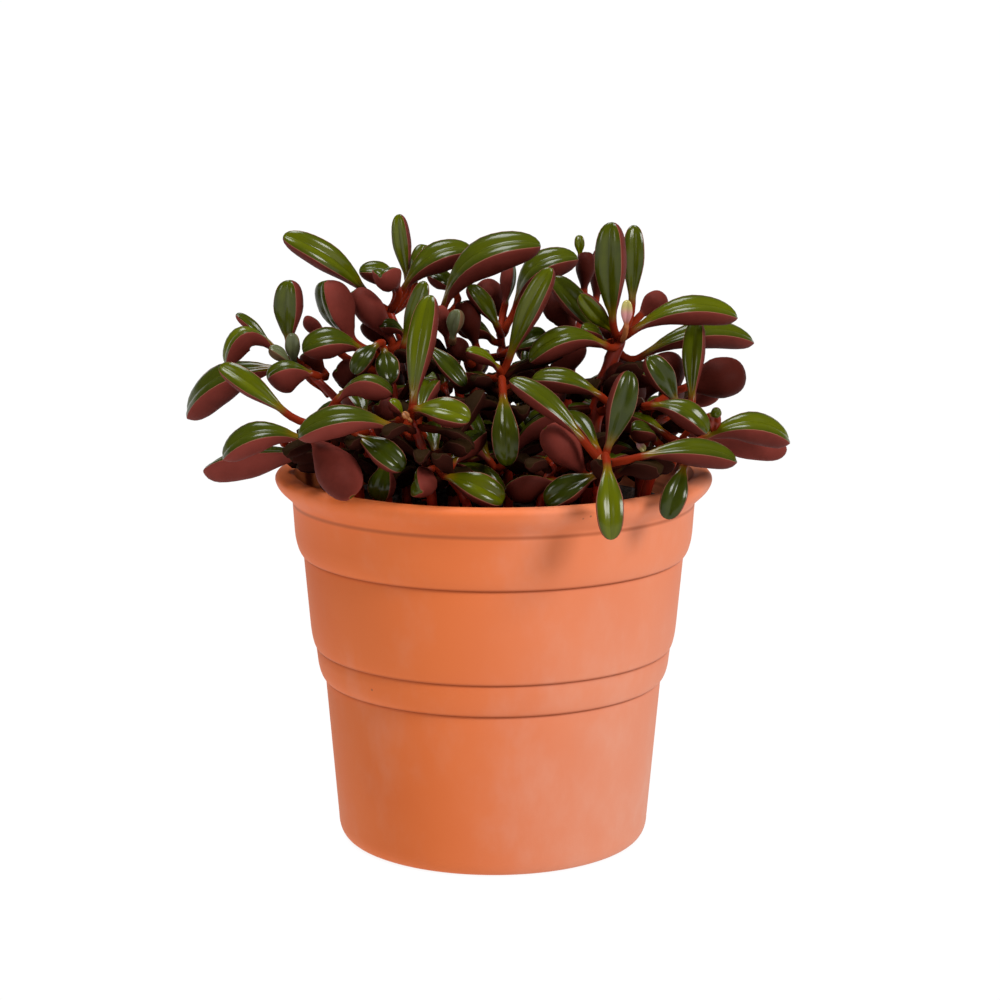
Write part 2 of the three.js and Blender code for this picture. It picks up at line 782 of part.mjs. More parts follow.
// A leaf: a ball drawn out along its rings. Its petiole is round, and its blade has the section.
function leafBody(blade) {
  const rings = leafRings(blade);
  const last = rings.length - 1;
  const corners = SECTION.length;
  const ball = new THREE.SphereGeometry(1, corners, last).rotateY(Math.PI / (2 * corners));
  return reshape(welded(ball), (from) => {
    const station = Math.round((Math.acos(Math.max(-1, Math.min(1, -from.y))) / Math.PI) * last);
    const at = rings[station];
    if (station === 0 || station === last) return at.point;
    const turn = Math.atan2(from.x, from.z) / (2 * Math.PI);
    const [out, lift] = SECTION[(Math.round(turn * corners) + corners) % corners];
    const across = at.radius ? at.radius * Math.sin(2 * Math.PI * turn) : at.width * out;
    const up = at.radius ? at.radius * Math.cos(2 * Math.PI * turn) : at.width * lift;
    return at.point.clone().addScaledVector(at.across, across).addScaledVector(at.normal, up);
  });
}

function stemBody(stem) {
  const curve = stemCurve(stem);
  const foot = vector(stem.root[0], stem.root[1], STEM.level - STEM.buried);
  const rings = [{ point: foot, tangent: vector(0, 0, 1), radius: stem.radius }];
  for (let step = 0; step <= STEM.steps; step += 1) {
    const t = step / STEM.steps;
    const radius = stem.radius * (1 + (STEM.tipTaper - 1) * t);
    rings.push({ point: curve.getPoint(t), tangent: curve.getTangent(t), radius });
  }
  return tube(rings, STEM.sides);
}

function solidOf(geometry) {
  return new wasm.Manifold(
    new wasm.Mesh({
      numProp: 3,
      vertProperties: geometry.getAttribute("position").array,
      triVerts: new Uint32Array(geometry.index.array),
    }),
  );
}

function geometryOf(solid) {
  const mesh = solid.getMesh();
  const geometry = new THREE.BufferGeometry();
  geometry.setAttribute("position", new THREE.BufferAttribute(mesh.vertProperties, 3));
  geometry.setIndex(new THREE.BufferAttribute(mesh.triVerts, 1));
  geometry.computeVertexNormals();
  return geometry;
}

// The body itself: a hollow that joining sealed is filled, and a loose scrap is dropped.
function whole(solid) {
  return solid.decompose().reduce((most, body) => (body.volume() > most.volume() ? body : most));
}

function leafyStem(stem) {
  let solid = solidOf(stemBody(stem));
  stem.blades.forEach((blade) => {
    solid = solid.add(solidOf(leafBody(blade)));
  });
  return geometryOf(whole(solid));
}

// Lathes a profile of radius and height about Z.
function turned(profile, segments) {
  const points = profile.map(([radius, height]) => new THREE.Vector2(radius, height));
  return welded(new THREE.LatheGeometry(points, segments).rotateX(Math.PI / 2));
}

// A round or polygonal bore about an upright axis, to be cut away.
function bore(radius, length, sides, [x, y], z) {
  const drill = new THREE.CylinderGeometry(radius, radius, length, sides);
  return solidOf(welded(drill.rotateX(Math.PI / 2).translate(x, y, z)));
}

// The outer wall up to the groove under the rim. Each band starts at a sharp groove and rounds out.
function outerWall() {
  const wall = (height) => POT.wallAtFoot + POT.taper * height;
  const profile = [
    [POT.footRadius, 0],
    [wall(POT.footRound) - POT.edge, POT.edge],
    [wall(POT.footRound), POT.footRound],
  ];
  let proud = 0;
  BANDS.forEach((band) => {
    profile.push([wall(band.from) + proud, band.from]);
    BAND_STEPS.forEach((rise) => {
      const swell = Math.sqrt(1 - (1 - rise) ** 2);
      const height = band.from + rise * band.round;
      profile.push([wall(height) + proud + swell * (band.proud - proud), height]);
    });
    proud = band.proud;
  });
  return profile;
}

function potBody() {
  const profile = [[0, 0], ...outerWall(), ...RIM, ...INNER_WALL, [0, POT.floor]];
  let solid = solidOf(turned(profile, POT.segments));
  for (let i = 0; i < DRAIN.count; i += 1) {
    const turn = (2 * Math.PI * i) / DRAIN.count;
    const middle = [DRAIN.fromAxis * Math.cos(turn), DRAIN.fromAxis * Math.sin(turn)];
    solid = solid.subtract(bore(DRAIN.radius, 4 * POT.floor, DRAIN.sides, middle, 0));
  }
  return geometryOf(solid);
}

// How far the soil's lumps lift its surface.
function soilLumps(x, y) {
  return LUMPS.reduce((lift, { height, across, away, shift }) => {
    return lift + height * Math.sin(across * x + shift) * Math.cos(away * y);
  }, 0);
}

function soilBody(stems) {
  const wall = INNER_WALL.slice(1).map(([radius, height]) => [radius - SOIL.clear, height]);
  wall.reverse();
  wall[0][1] = POT.floor + SOIL.clear;
  const top = SOIL.rings.map((radius) => [radius, SOIL.top]).reverse();
  const profile = [[0, POT.floor + SOIL.clear], ...wall, ...top];
  const widest = SOIL.rings.at(-1) + SOIL.clear;
  const lumpy = reshape(turned(profile, SOIL.segments), (at) => {
    const surface = Math.hypot(at.x, at.y) <= widest && at.z > SOIL.top - SOIL.clear;
    return vector(at.x, at.y, surface ? at.z + soilLumps(at.x, at.y) : at.z);
  });
  let solid = solidOf(lumpy);
  stems.forEach((stem) => {
    const radius = (stem.radius + HOLE.clear) / Math.cos(Math.PI / HOLE.sides);
    const depth = STEM.buried + HOLE.clear;
    solid = solid.subtract(bore(radius, 2 * depth, HOLE.sides, stem.root, STEM.level));
  });
  return geometryOf(solid);
}

const FINISH = {
  pot: { color: 0xe08050, roughness: 0.55, metalness: 0 },
  soil: { color: 0x2b1c14, roughness: 1, metalness: 0 },
  foliage: { color: 0x55601c, roughness: 0.35, metalness: 0 },
};

function piece(name, geometry, finish) {
  const mesh = new THREE.Mesh(geometry, new THREE.MeshStandardMaterial(finish));
  mesh.name = name;
  return mesh;
}

const group = new THREE.Group();
const front = frontStems();
bendClear(front);
const stems = [...front, ...growHidden(front)];
group.add(piece("pot", potBody(), FINISH.pot));
group.add(piece("potting_soil", soilBody(stems), FINISH.soil));
stems.forEach((stem) => group.add(piece("leafy_stem_" + stem.name, leafyStem(stem), FINISH.foliage)));

export default group;
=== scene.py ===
"""The looks of a potted peperomia: a terracotta pot, potting soil, and red stems with glossy boat leaves.

The tables are in millimetres and repeat the sizes that the solids were made from, so that each fine
piece stands where its solid does. Meshes are in metres, +Z up, the pot's axis on Z, the front towards -Y.
"""

from __future__ import annotations

import logging
import math
from dataclasses import dataclass, field
from enum import Enum
from functools import cached_property
from typing import Iterable, Sequence, Union

import bmesh
import bpy
import numpy as np
from mathutils import Matrix, Vector, noise


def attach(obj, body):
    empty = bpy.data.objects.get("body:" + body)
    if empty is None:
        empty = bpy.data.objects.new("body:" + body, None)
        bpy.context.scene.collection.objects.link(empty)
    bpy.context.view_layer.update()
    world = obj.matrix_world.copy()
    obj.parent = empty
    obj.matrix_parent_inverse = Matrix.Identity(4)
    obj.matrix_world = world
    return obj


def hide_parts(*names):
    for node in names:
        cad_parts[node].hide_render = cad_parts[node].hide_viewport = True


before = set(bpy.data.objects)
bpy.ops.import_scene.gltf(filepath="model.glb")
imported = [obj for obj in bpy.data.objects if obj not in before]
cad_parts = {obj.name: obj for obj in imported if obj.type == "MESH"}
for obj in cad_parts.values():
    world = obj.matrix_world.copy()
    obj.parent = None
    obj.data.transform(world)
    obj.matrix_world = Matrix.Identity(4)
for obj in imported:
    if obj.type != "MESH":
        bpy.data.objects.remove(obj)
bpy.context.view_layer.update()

MM = 0.001
FULL_TURN = 360
PLACE_LAYER = "leaf_place"
TONE_LAYER = "leaf_tone"
LOG = logging.getLogger("potted_peperomia")

Pixel = tuple[float, float]
Limits = tuple[float, float]
Triple = tuple[float, float, float]


def unit(rows: np.ndarray) -> np.ndarray:
    """Scales a vector, or each row of vectors, to length one."""
    return rows / np.linalg.norm(rows, axis=-1, keepdims=True)


def cross(first: np.ndarray, second: np.ndarray) -> np.ndarray:
    """Multiplies vectors, or rows of vectors, so that each result is square to both."""
    (a, b, c), (x, y, z) = first.T, second.T
    return np.stack([b * z - c * y, c * x - a * z, a * y - b * x], axis=-1)


def smooth_step(value: np.ndarray, low: float, high: float) -> np.ndarray:
    """Rises smoothly from 0 at low to 1 at high."""
    share = np.clip((value - low) / (high - low), 0.0, 1.0)
    return share * share * (3.0 - 2.0 * share)


@dataclass(frozen=True)
class Viewpoint:
    """The lens that the front leaves were placed from, in front of the pot and a little above."""

    across: float = 1.76
    aim: float = 95.2
    distance: float = 705.23
    pitch: float = 10.72
    roll: float = 0.169
    focal: float = 2530.0
    middle: float = 500.0
    sensor: float = 36.0
    clip: Limits = (0.01, 20.0)

    @cached_property
    def axes(self) -> tuple[np.ndarray, np.ndarray, np.ndarray]:
        """The directions forward, right and up of the lens."""
        pitch = math.radians(self.pitch)
        roll = math.radians(self.roll)
        forward = np.array([0.0, math.cos(pitch), -math.sin(pitch)])
        level = np.array([1.0, 0.0, 0.0])
        upright = np.array([0.0, math.sin(pitch), math.cos(pitch)])
        right = math.cos(roll) * level + math.sin(roll) * upright
        up = math.cos(roll) * upright - math.sin(roll) * level
        return forward, right, up

    @cached_property
    def eye(self) -> np.ndarray:
        """The place of the lens."""
        return np.array([self.across, 0.0, self.aim]) - self.distance * self.axes[0]

    def seen_at(self, pixel: Pixel, depth: float) -> np.ndarray:
        """Finds the point at a depth that is seen at a pixel.

        Args:
            pixel: Column and row in the view, 1000 wide and high.
            depth: The point's Y.

        Returns:
            The point.
        """
        forward, right, up = self.axes
        column, row = pixel
        ray = forward + right * (column - self.middle) / self.focal + up * (self.middle - row) / self.focal
        return self.eye + ray * (depth - self.eye[1]) / ray[1]

    def pixels_of(self, points: np.ndarray) -> np.ndarray:
        """Finds the pixels that points are seen at.

        Args:
            points: One point a row.

        Returns:
            One column and row for each.
        """
        forward, right, up = self.axes
        rays = points - self.eye
        scale = self.focal / (rays @ forward)
        return np.stack([self.middle + scale * (rays @ right), self.middle - scale * (rays @ up)], axis=-1)

    def add_camera(self) -> None:
        """Makes the camera, and makes it the scene's."""
        forward, right, up = self.axes
        data = bpy.data.cameras.new("camera")
        data.sensor_width = self.sensor
        data.lens = self.focal * self.sensor / (2.0 * self.middle)
        data.clip_start, data.clip_end = self.clip
        camera = bpy.data.objects.new("camera", data)
        turn = Matrix(np.stack([right, up, -forward], axis=-1).tolist()).to_4x4()
        camera.matrix_world = Matrix.Translation(Vector(self.eye * MM)) @ turn
        bpy.context.scene.collection.objects.link(camera)
        bpy.context.scene.camera = camera


VIEW = Viewpoint()


class Facing(Enum):
    """The ways that a leaf's upper face looks."""

    UP = (0.0, -0.15, 1.0)
    UP_FRONT = (0.0, -0.6, 1.0)
    UP_BACK = (0.0, 0.35, 1.0)
    FRONT = (0.0, -1.0, 0.2)
    FRONT_UP = (0.0, -1.0, 0.8)
    FRONT_LEFT = (-0.5, -1.0, 0.3)
    FRONT_RIGHT = (0.5, -1.0, 0.3)
    LEFT = (-1.0, -0.45, 0.1)
    RIGHT = (1.0, -0.2, 0.1)
    BACK = (0.0, 1.0, 0.35)
    UPRIGHT = (0.0, 0.0, 1.0)
    DOWN = (0.0, -0.2, -1.0)


class Tone(Enum):
    """How a leaf is coloured: how fresh its green is, how rosy its underside, and how young it is.

    A rosiness below 0 paints shade over all of a leaf, for leaves deep inside the plant. A bud is younger
    than a young leaf, and its freshness tells a pink bud from an ochre one. Where youth is below 0, all of a
    leaf is as red as a stalk.
    """

    DEEP = (0.1, 0.35, 0.0)
    GREEN = (0.45, 0.4, 0.0)
    FRESH = (0.75, 0.45, 0.0)
    YELLOW = (1.0, 0.35, 0.0)
    ROSY = (0.3, 0.9, 0.0)
    MAUVE = (0.25, 0.65, 0.0)
    DUSKY = (0.1, 0.0, 0.0)
    SHADED = (0.0, -1.0, 0.0)
    YOUNG = (0.3, 0.6, 1.0)
    BUD = (1.0, 0.9, 2.0)
    OCHRE = (0.0, 0.9, 2.0)
    STALK = (0.0, 0.5, -1.0)


@dataclass(frozen=True)
class LeafPlan:
    """A leaf of the front view: pixels of its base and tip, the depth of each, its width, how far its
    midline arches, the way its upper face looks, its colouring, and how far up the stem it starts."""

    base: Pixel
    tip: Pixel
    depth: Limits
    width: float
    arch: float
    face: Facing
    tone: Tone = Tone.GREEN
    start: float = 1.0


@dataclass(frozen=True)
class StemPlan:
    """A stem of the front view: where it stands, its tip's pixel and depth, its radius and its leaves."""

    name: str
    root: Limits
    node: Pixel
    depth: float
    radius: float
    leaves: tuple[LeafPlan, ...]


FRONT_STEMS = (
    StemPlan("left_high", (-19, 9), (386, 306), 12, 1.5, (
        LeafPlan((366, 293), (283, 236), (8, 0), 7.6, 3.4, Facing.FRONT_UP, Tone.FRESH),
        LeafPlan((396, 292), (359, 272), (12, 8), 6.4, 3.2, Facing.UP_FRONT),
        LeafPlan((398, 290), (380, 276), (8, -4), 7.4, 1.6, Facing.UP_BACK, Tone.ROSY),
        LeafPlan((404, 289), (474, 252), (14, 16), 8.6, 4.6, Facing.UP_FRONT),
        LeafPlan((408, 280), (399, 214), (18, 18), 5.2, 0.4, Facing.FRONT_LEFT, Tone.YELLOW),
        LeafPlan((414, 284), (425, 245), (26, 30), 5.2, 1, Facing.UP_FRONT),
    )),
    StemPlan("left_inner", (-24, -2), (376, 348), -2, 1.5, (
        LeafPlan((361, 350), (303, 352), (-12, -16), 8.4, 3.2, Facing.UP_FRONT, Tone.MAUVE),
        LeafPlan((354, 341), (325, 281), (-2, -6), 10.6, 1.2, Facing.LEFT, Tone.MAUVE),
        LeafPlan((391, 340), (353, 291), (4, 2), 8, 1, Facing.BACK, Tone.ROSY),
        LeafPlan((326, 338), (304, 318), (6, 8), 4.6, 0.6, Facing.UP_BACK, Tone.MAUVE, 0.8),
        LeafPlan((377, 345), (354, 374), (-14, -20), 5.6, 1.4, Facing.FRONT_UP, Tone.DEEP),
        LeafPlan((384, 350), (390, 384), (-12, -20), 6.8, 0.8, Facing.FRONT_UP, Tone.DEEP),
        LeafPlan((404, 345), (425, 281), (-6, -8), 5.4, 0.8, Facing.FRONT, Tone.GREEN, 0.85),
        LeafPlan((426, 345), (465, 386), (-10, -16), 5.2, 1.2, Facing.FRONT_UP, Tone.DEEP, 0.85),
    )),
    StemPlan("left_outer", (-32, -8), (296, 364), -10, 1.4, (
        LeafPlan((294, 363), (292, 333), (-12, -12), 4.2, 0.4, Facing.FRONT, Tone.YOUNG),
        LeafPlan((290, 364), (269, 348), (-14, -16), 3.8, 0.6, Facing.UP_FRONT, Tone.YOUNG),
        LeafPlan((289, 344), (290, 280), (-10, -12), 7.8, 0.4, Facing.FRONT_LEFT),
        LeafPlan((270, 344), (236, 314), (-8, -8), 3.2, 0.6, Facing.UP_FRONT, Tone.ROSY),
        LeafPlan((275, 350), (227, 365), (-10, -14), 7.4, 6.4, Facing.UP, Tone.FRESH),
        LeafPlan((282, 369), (190, 418), (-2, 6), 10.2, 5.6, Facing.UP_FRONT, Tone.MAUVE),
        LeafPlan((312, 374), (268, 381), (-18, -22), 9.4, 1.4, Facing.UP, Tone.MAUVE, 0.9),
        LeafPlan((338, 399), (392, 395), (-30, -32), 7.2, 3.6, Facing.UP, Tone.ROSY, 0.6),
    )),
    StemPlan("left_low", (-36, -22), (318, 424), -26, 1.6, (
        LeafPlan((286, 413), (220, 366), (-24, -20), 6.2, 1.2, Facing.FRONT_RIGHT, Tone.FRESH),
        LeafPlan((304, 440), (224, 459), (-32, -32), 8.2, 5, Facing.UP_FRONT, Tone.ROSY),
        LeafPlan((308, 454), (205, 473), (-24, -12), 9, 1.6, Facing.UP, Tone.ROSY),
    )),
    StemPlan("front_left", (-16, -36), (408, 416), -40, 1.4, (
        LeafPlan((413, 404), (431, 295), (-38, -30), 7.4, 0.8, Facing.FRONT_LEFT, Tone.FRESH),
        LeafPlan((415, 409), (470, 420), (-42, -46), 7.4, 1.6, Facing.FRONT_UP, Tone.YELLOW),
        LeafPlan((402, 416), (389, 401), (-42, -44), 3.4, 0.6, Facing.UP_FRONT, Tone.YELLOW),
        LeafPlan((392, 427), (299, 438), (-46, -44), 8.2, 4.4, Facing.UP_FRONT, Tone.ROSY),
    )),
    StemPlan("front_left_low", (-28, -32), (368, 428), -36, 1.4, (
        LeafPlan((312, 438), (352, 497), (-48, -50), 11, 0.8, Facing.BACK, Tone.MAUVE),
        LeafPlan((358, 437), (403, 470), (-46, -50), 7.2, 1.4, Facing.FRONT_UP, Tone.DEEP),
        LeafPlan((388, 462), (380, 501), (-38, -38), 7.2, 0.4, Facing.FRONT_LEFT, Tone.MAUVE, 0.5),
    )),
    StemPlan("front_low", (-6, -40), (436, 466), -40, 1.3, (
        LeafPlan((445, 476), (503, 502), (-44, -46), 7.8, 1.4, Facing.FRONT_UP, Tone.FRESH),
        LeafPlan((430, 470), (421, 492), (-42, -54), 7.2, 1, Facing.BACK, Tone.MAUVE),
    )),
    StemPlan("middle_high", (-8, 12), (440, 312), 10, 1.5, (
        LeafPlan((444, 307), (541, 246), (6, 0), 10.6, 7.2, Facing.UP_FRONT),
        LeafPlan((456, 294), (428, 275), (18, 20), 5.6, 1.6, Facing.UP_FRONT, Tone.MAUVE),
        LeafPlan((449, 341), (436, 307), (0, -4), 5.4, 0.8, Facing.BACK, Tone.MAUVE),
        LeafPlan((453, 338), (459, 310), (-2, -6), 4.6, 0.6, Facing.FRONT_LEFT, Tone.YOUNG),
    )),
    StemPlan("middle_back", (4, 24), (500, 330), 26, 1.4, (
        LeafPlan((517, 303), (578, 259), (28, 26), 9, 5.6, Facing.UP_FRONT),
        LeafPlan((505, 305), (511, 262), (34, 36), 5, 0.4, Facing.RIGHT, Tone.ROSY),
        LeafPlan((497, 326), (468, 286), (20, 14), 5.4, 1.2, Facing.FRONT_UP),
        LeafPlan((503, 317), (478, 283), (36, 38), 9, 0.8, Facing.BACK),
    )),
    StemPlan("middle", (4, -10), (500, 372), -12, 1.4, (
        LeafPlan((509, 359), (552, 268), (-12, -16), 6.8, 1.2, Facing.FRONT_LEFT, Tone.FRESH),
        LeafPlan((498, 368), (466, 351), (-14, -18), 4.2, 1, Facing.UP_FRONT, Tone.YELLOW),
        LeafPlan((503, 394), (507, 466), (-28, -34), 7.6, 0.8, Facing.FRONT, Tone.GREEN, 0.9),
    )),
    StemPlan("right_back", (20, 28), (588, 294), 34, 1.5, (
        LeafPlan((580, 256), (579, 235), (36, 36), 3, 0.3, Facing.FRONT, Tone.YELLOW),
        LeafPlan((584, 291), (587, 252), (32, 32), 5.8, 0.6, Facing.BACK, Tone.DUSKY),
        LeafPlan((596, 300), (604, 246), (42, 46), 6.6, 0.6, Facing.BACK, Tone.DUSKY),
    )),
    StemPlan("right_high", (26, -4), (622, 335), -2, 2.3, (
        LeafPlan((613, 322), (612, 222), (-6, -8), 8.6, 0.8, Facing.FRONT_LEFT),
        LeafPlan((632, 304), (634, 225), (6, 8), 6.2, 0.6, Facing.FRONT),
        LeafPlan((614, 331), (580, 294), (-2, -6), 5.4, 1, Facing.FRONT_LEFT, Tone.YELLOW),
        LeafPlan((640, 316), (666, 296), (8, 12), 6.4, 0.6, Facing.BACK, Tone.MAUVE),
        LeafPlan((633, 331), (737, 318), (-10, -8), 8, 5, Facing.UP_FRONT, Tone.FRESH),
        LeafPlan((606, 346), (530, 362), (-12, -16), 7.8, 5.2, Facing.UP_FRONT),
        LeafPlan((603, 339), (552, 278), (6, 8), 7.2, 1, Facing.FRONT_UP),
        LeafPlan((574, 331), (547, 294), (10, 12), 9, 0.8, Facing.BACK, Tone.DUSKY),
        LeafPlan((604, 342), (581, 329), (-2, -6), 4.8, 1, Facing.UP_FRONT),
        LeafPlan((626, 327), (627, 300), (-12, -14), 3.2, 0.3, Facing.FRONT, Tone.BUD),
        LeafPlan((641, 357), (753, 343), (4, 12), 7.8, 5.6, Facing.UP_FRONT, Tone.GREEN, 0.9),
        LeafPlan((600, 396), (532, 380), (-24, -22), 6.8, 2.4, Facing.UP_FRONT, Tone.GREEN, 0.5),
    )),
    StemPlan("right_middle", (40, -12), (656, 402), -18, 1.5, (
        LeafPlan((692, 402), (697, 319), (-14, -4), 6.2, 0.6, Facing.FRONT_LEFT),
        LeafPlan((684, 388), (746, 375), (-6, -2), 11, 1, Facing.BACK, Tone.DUSKY),
        LeafPlan((688, 408), (719, 393), (4, 8), 4.6, 0.6, Facing.BACK, Tone.ROSY, 0.8),
        LeafPlan((676, 402), (647, 357), (-24, -28), 7, 0.8, Facing.FRONT_UP, Tone.DEEP),
        LeafPlan((652, 406), (707, 433), (-32, -36), 7.2, 3, Facing.UP_FRONT),
    )),
    StemPlan("front_right", (27, -38), (603, 462), -46, 1.5, (
        LeafPlan((583, 440), (510, 380), (-44, -38), 6.2, 2.2, Facing.UP_FRONT),
        LeafPlan((607, 450), (629, 371), (-42, -38), 7.4, 0.6, Facing.FRONT_RIGHT, Tone.DEEP),
        LeafPlan((607, 464), (611, 540), (-58, -68), 7.2, 1.4, Facing.FRONT_UP, Tone.YELLOW),
        LeafPlan((596, 475), (546, 504), (-44, -45), 7.4, 1.2, Facing.FRONT_UP, Tone.DEEP),
        LeafPlan((584, 474), (545, 428), (-38, -36), 9.4, 0.8, Facing.BACK, Tone.ROSY),
        LeafPlan((641, 457), (736, 462), (-46, -40), 7.4, 2.8, Facing.UP_FRONT),
    )),
    StemPlan("front_middle", (12, -38), (556, 462), -36, 1.3, (
        LeafPlan((555, 482), (506, 494), (-40, -40), 7.6, 1, Facing.UP_BACK, Tone.DUSKY, 0.7),
    )),
    StemPlan("right_low", (40, -26), (682, 440), -32, 1.6, (
        LeafPlan((703, 439), (788, 443), (-30, -26), 8.4, 5, Facing.UP_FRONT, Tone.FRESH),
        LeafPlan((692, 444), (786, 452), (-22, -14), 7.8, 1.8, Facing.UP_BACK, Tone.ROSY),
        LeafPlan((713, 433), (715, 411), (-30, -32), 3.6, 0.4, Facing.FRONT, Tone.STALK),
        LeafPlan((684, 466), (666, 519), (-46, -50), 6.8, 1, Facing.FRONT, Tone.DEEP),
        LeafPlan((655, 440), (632, 430), (-30, -36), 6, 1, Facing.UP_FRONT, Tone.DUSKY, 0.8),
    )),
)


# Growth that has no solid of its own, by the stem that it grows on: buds, and leaves deep inside.
SMALL_GROWTH = {
    "left_inner": (
        LeafPlan((398, 346), (362, 324), (8, 6), 6.4, 0.8, Facing.BACK, Tone.DUSKY),
        LeafPlan((404, 334), (379, 327), (4, 2), 4.4, 1.4, Facing.UP_FRONT, Tone.DEEP),
        LeafPlan((362, 384), (336, 370), (-6, -8), 7.5, 1.0, Facing.BACK, Tone.DUSKY, 0.8),
    ),
    "left_outer": (
        LeafPlan((324, 372), (303, 354), (-2, -4), 6.0, 0.6, Facing.BACK, Tone.DUSKY, 0.9),
        LeafPlan((327, 394), (300, 364), (-8, -10), 3.4, 0.3, Facing.FRONT, Tone.STALK, 0.9),
    ),
    "front_left": (
        LeafPlan((409, 419), (403, 412), (-44, -45), 1.9, 0.2, Facing.FRONT, Tone.OCHRE),
        LeafPlan((398, 424), (378, 404), (-22, -24), 7.0, 0.8, Facing.BACK, Tone.DUSKY, 0.8),
        LeafPlan((430, 410), (424, 388), (-14, -14), 6.0, 0.6, Facing.BACK, Tone.DUSKY, 0.8),
    ),
    "middle_high": (
        LeafPlan((470, 362), (450, 342), (2, 2), 6.0, 0.6, Facing.BACK, Tone.DUSKY, 0.8),
    ),
    "middle_back": (
        LeafPlan((492, 340), (456, 328), (24, 18), 6.4, 2.0, Facing.UP_FRONT, Tone.DUSKY, 0.9),
        LeafPlan((476, 346), (462, 302), (18, 14), 7.5, 0.8, Facing.BACK, Tone.DUSKY, 0.8),
        LeafPlan((512, 350), (547, 336), (12, 16), 6.6, 1.0, Facing.FRONT_UP, Tone.DEEP, 0.85),
    ),
    "right_low": (
        LeafPlan((710, 415), (721, 411), (-33, -34), 3.0, 0.1, Facing.FRONT, Tone.GREEN),
        LeafPlan((670, 467), (636, 468), (-34, -30), 4.6, 1.2, Facing.DOWN, Tone.ROSY, 0.8),
    ),
    "front_right": (
        LeafPlan((607, 468), (597, 463), (-50, -52), 2.2, 2.6, Facing.UP, Tone.OCHRE),
    ),
    "right_high": (
        LeafPlan((606, 396), (628, 366), (-8, -6), 7.0, 0.8, Facing.BACK, Tone.DUSKY, 0.6),
        LeafPlan((613, 346), (602, 324), (2, 4), 4.5, 0.5, Facing.BACK, Tone.DUSKY, 0.9),
    ),
    "right_middle": (
        LeafPlan((636, 441), (645, 451), (-28, -30), 2.2, 0.3, Facing.FRONT, Tone.BUD, 0.5),
        LeafPlan((672, 398), (664, 352), (-4, 0), 10.0, 1.0, Facing.BACK, Tone.DUSKY, 0.85),
    ),
}


@dataclass(frozen=True)
class Bow:
    """A curve from a start to an end that leans towards a bend between them."""

    start: np.ndarray
    bend: np.ndarray
    end: np.ndarray
    nudge: float = 1e-4

    def at(self, share: np.ndarray) -> np.ndarray:
        """Gives the places at shares of the way along, one a row."""
        t = np.asarray(share, float)[..., None]
        return (1 - t) ** 2 * self.start + 2 * t * (1 - t) * self.bend + t**2 * self.end

    def heading(self, share: np.ndarray) -> np.ndarray:
        """Gives the directions at shares of the way along, one a row."""
        t = np.asarray(share, float)
        return unit(self.at(np.minimum(1.0, t + self.nudge)) - self.at(np.maximum(0.0, t - self.nudge)))


@dataclass(frozen=True)
class Midline:
    """Places on a leaf's midline, with the directions along it, across it and out of its upper face."""

    points: np.ndarray
    tangents: np.ndarray
    across: np.ndarray
    normals: np.ndarray


@dataclass(frozen=True)
class LeafRule:
    """Sizes that all leaves share."""

    neck: float = 0.3
    neck_end: float = 0.6
    blunt: float = 7.0
    petiole_radius: float = 1.05
    petiole_per_width: float = 0.24
    petiole_straight: float = 0.4

    def fullness(self, share: np.ndarray) -> np.ndarray:
        """How wide a leaf is along its midline, as a share of its width: a narrow neck and a round tip."""
        t = np.asarray(share, float)
        neck = self.neck + (1.0 - self.neck) * smooth_step(t, 0.0, self.neck_end)
        return neck * np.sqrt(1.0 - t**self.blunt)


RULE = LeafRule()


@dataclass(frozen=True)
class Beads:
    """Balls along leaves, petioles and stems, which find what crosses. A tip share says how far each
    follows the tip of its leaf."""

    points: np.ndarray
    radii: np.ndarray
    tips: np.ndarray

    @staticmethod
    def joined(parts: Iterable[Beads]) -> Beads:
        """Puts rows of beads together."""
        rows = list(parts)
        return Beads(
            np.concatenate([one.points for one in rows]),
            np.concatenate([one.radii for one in rows]),
            np.concatenate([one.tips for one in rows]),
        )

    def beyond(self, share: float) -> Beads:
        """Keeps the beads whose tip share is greater."""
        kept = self.tips > share
        return Beads(self.points[kept], self.radii[kept], self.tips[kept])

    def clear_of(self, others: Beads, gap: float) -> bool:
        """True where every bead keeps more than a gap to every other one."""
        if not len(self.radii) or not len(others.radii):
            return True
        off = np.linalg.norm(self.points[:, None] - others.points[None], axis=-1)
        return bool(np.all(off > self.radii[:, None] + others.radii[None] + gap))


@dataclass(frozen=True)
class Clearance:
    """What stays clear of what.

    It holds the gap that is kept, how often and how far crossing leaves are slid apart, where the beads
    sit on leaves, petioles and stems, and the rim that they keep off.
    """

    gap: float = 0.5
    rounds: int = 90
    share: float = 0.3
    share_of_stem: float = 0.5
    free: float = 0.3
    leaf_beads: tuple[float, ...] = (0.06, 0.22, 0.4, 0.6, 0.78, 0.94)
    bead_per_width: float = 0.5565
    bead_drop: float = 0.105
    petiole_beads: tuple[float, ...] = (0.2, 0.4, 0.6, 0.8)
    stem_beads: int = 13
    rim_radius: float = 57.4
    rim_height: float = 99.4
    rim_thick: float = 5.2

    def off_rim(self, beads: Beads, away: np.ndarray) -> np.ndarray:
        """How far each bead has to move along the line of sight to clear the rim, or 0.

        Args:
            beads: The beads.
            away: The sign of the line of sight's Y for each.

        Returns:
            One distance for each bead.
        """
        from_axis = np.hypot(beads.points[:, 0], beads.points[:, 1])
        off = np.hypot(from_axis - self.rim_radius, beads.points[:, 2] - self.rim_height)
        reach = beads.radii + self.rim_thick
        side = np.where(from_axis > self.rim_radius, -1.0, 1.0)
        return np.where(off < reach, (reach - off) * away * side, 0.0)


CLEAR = Clearance()


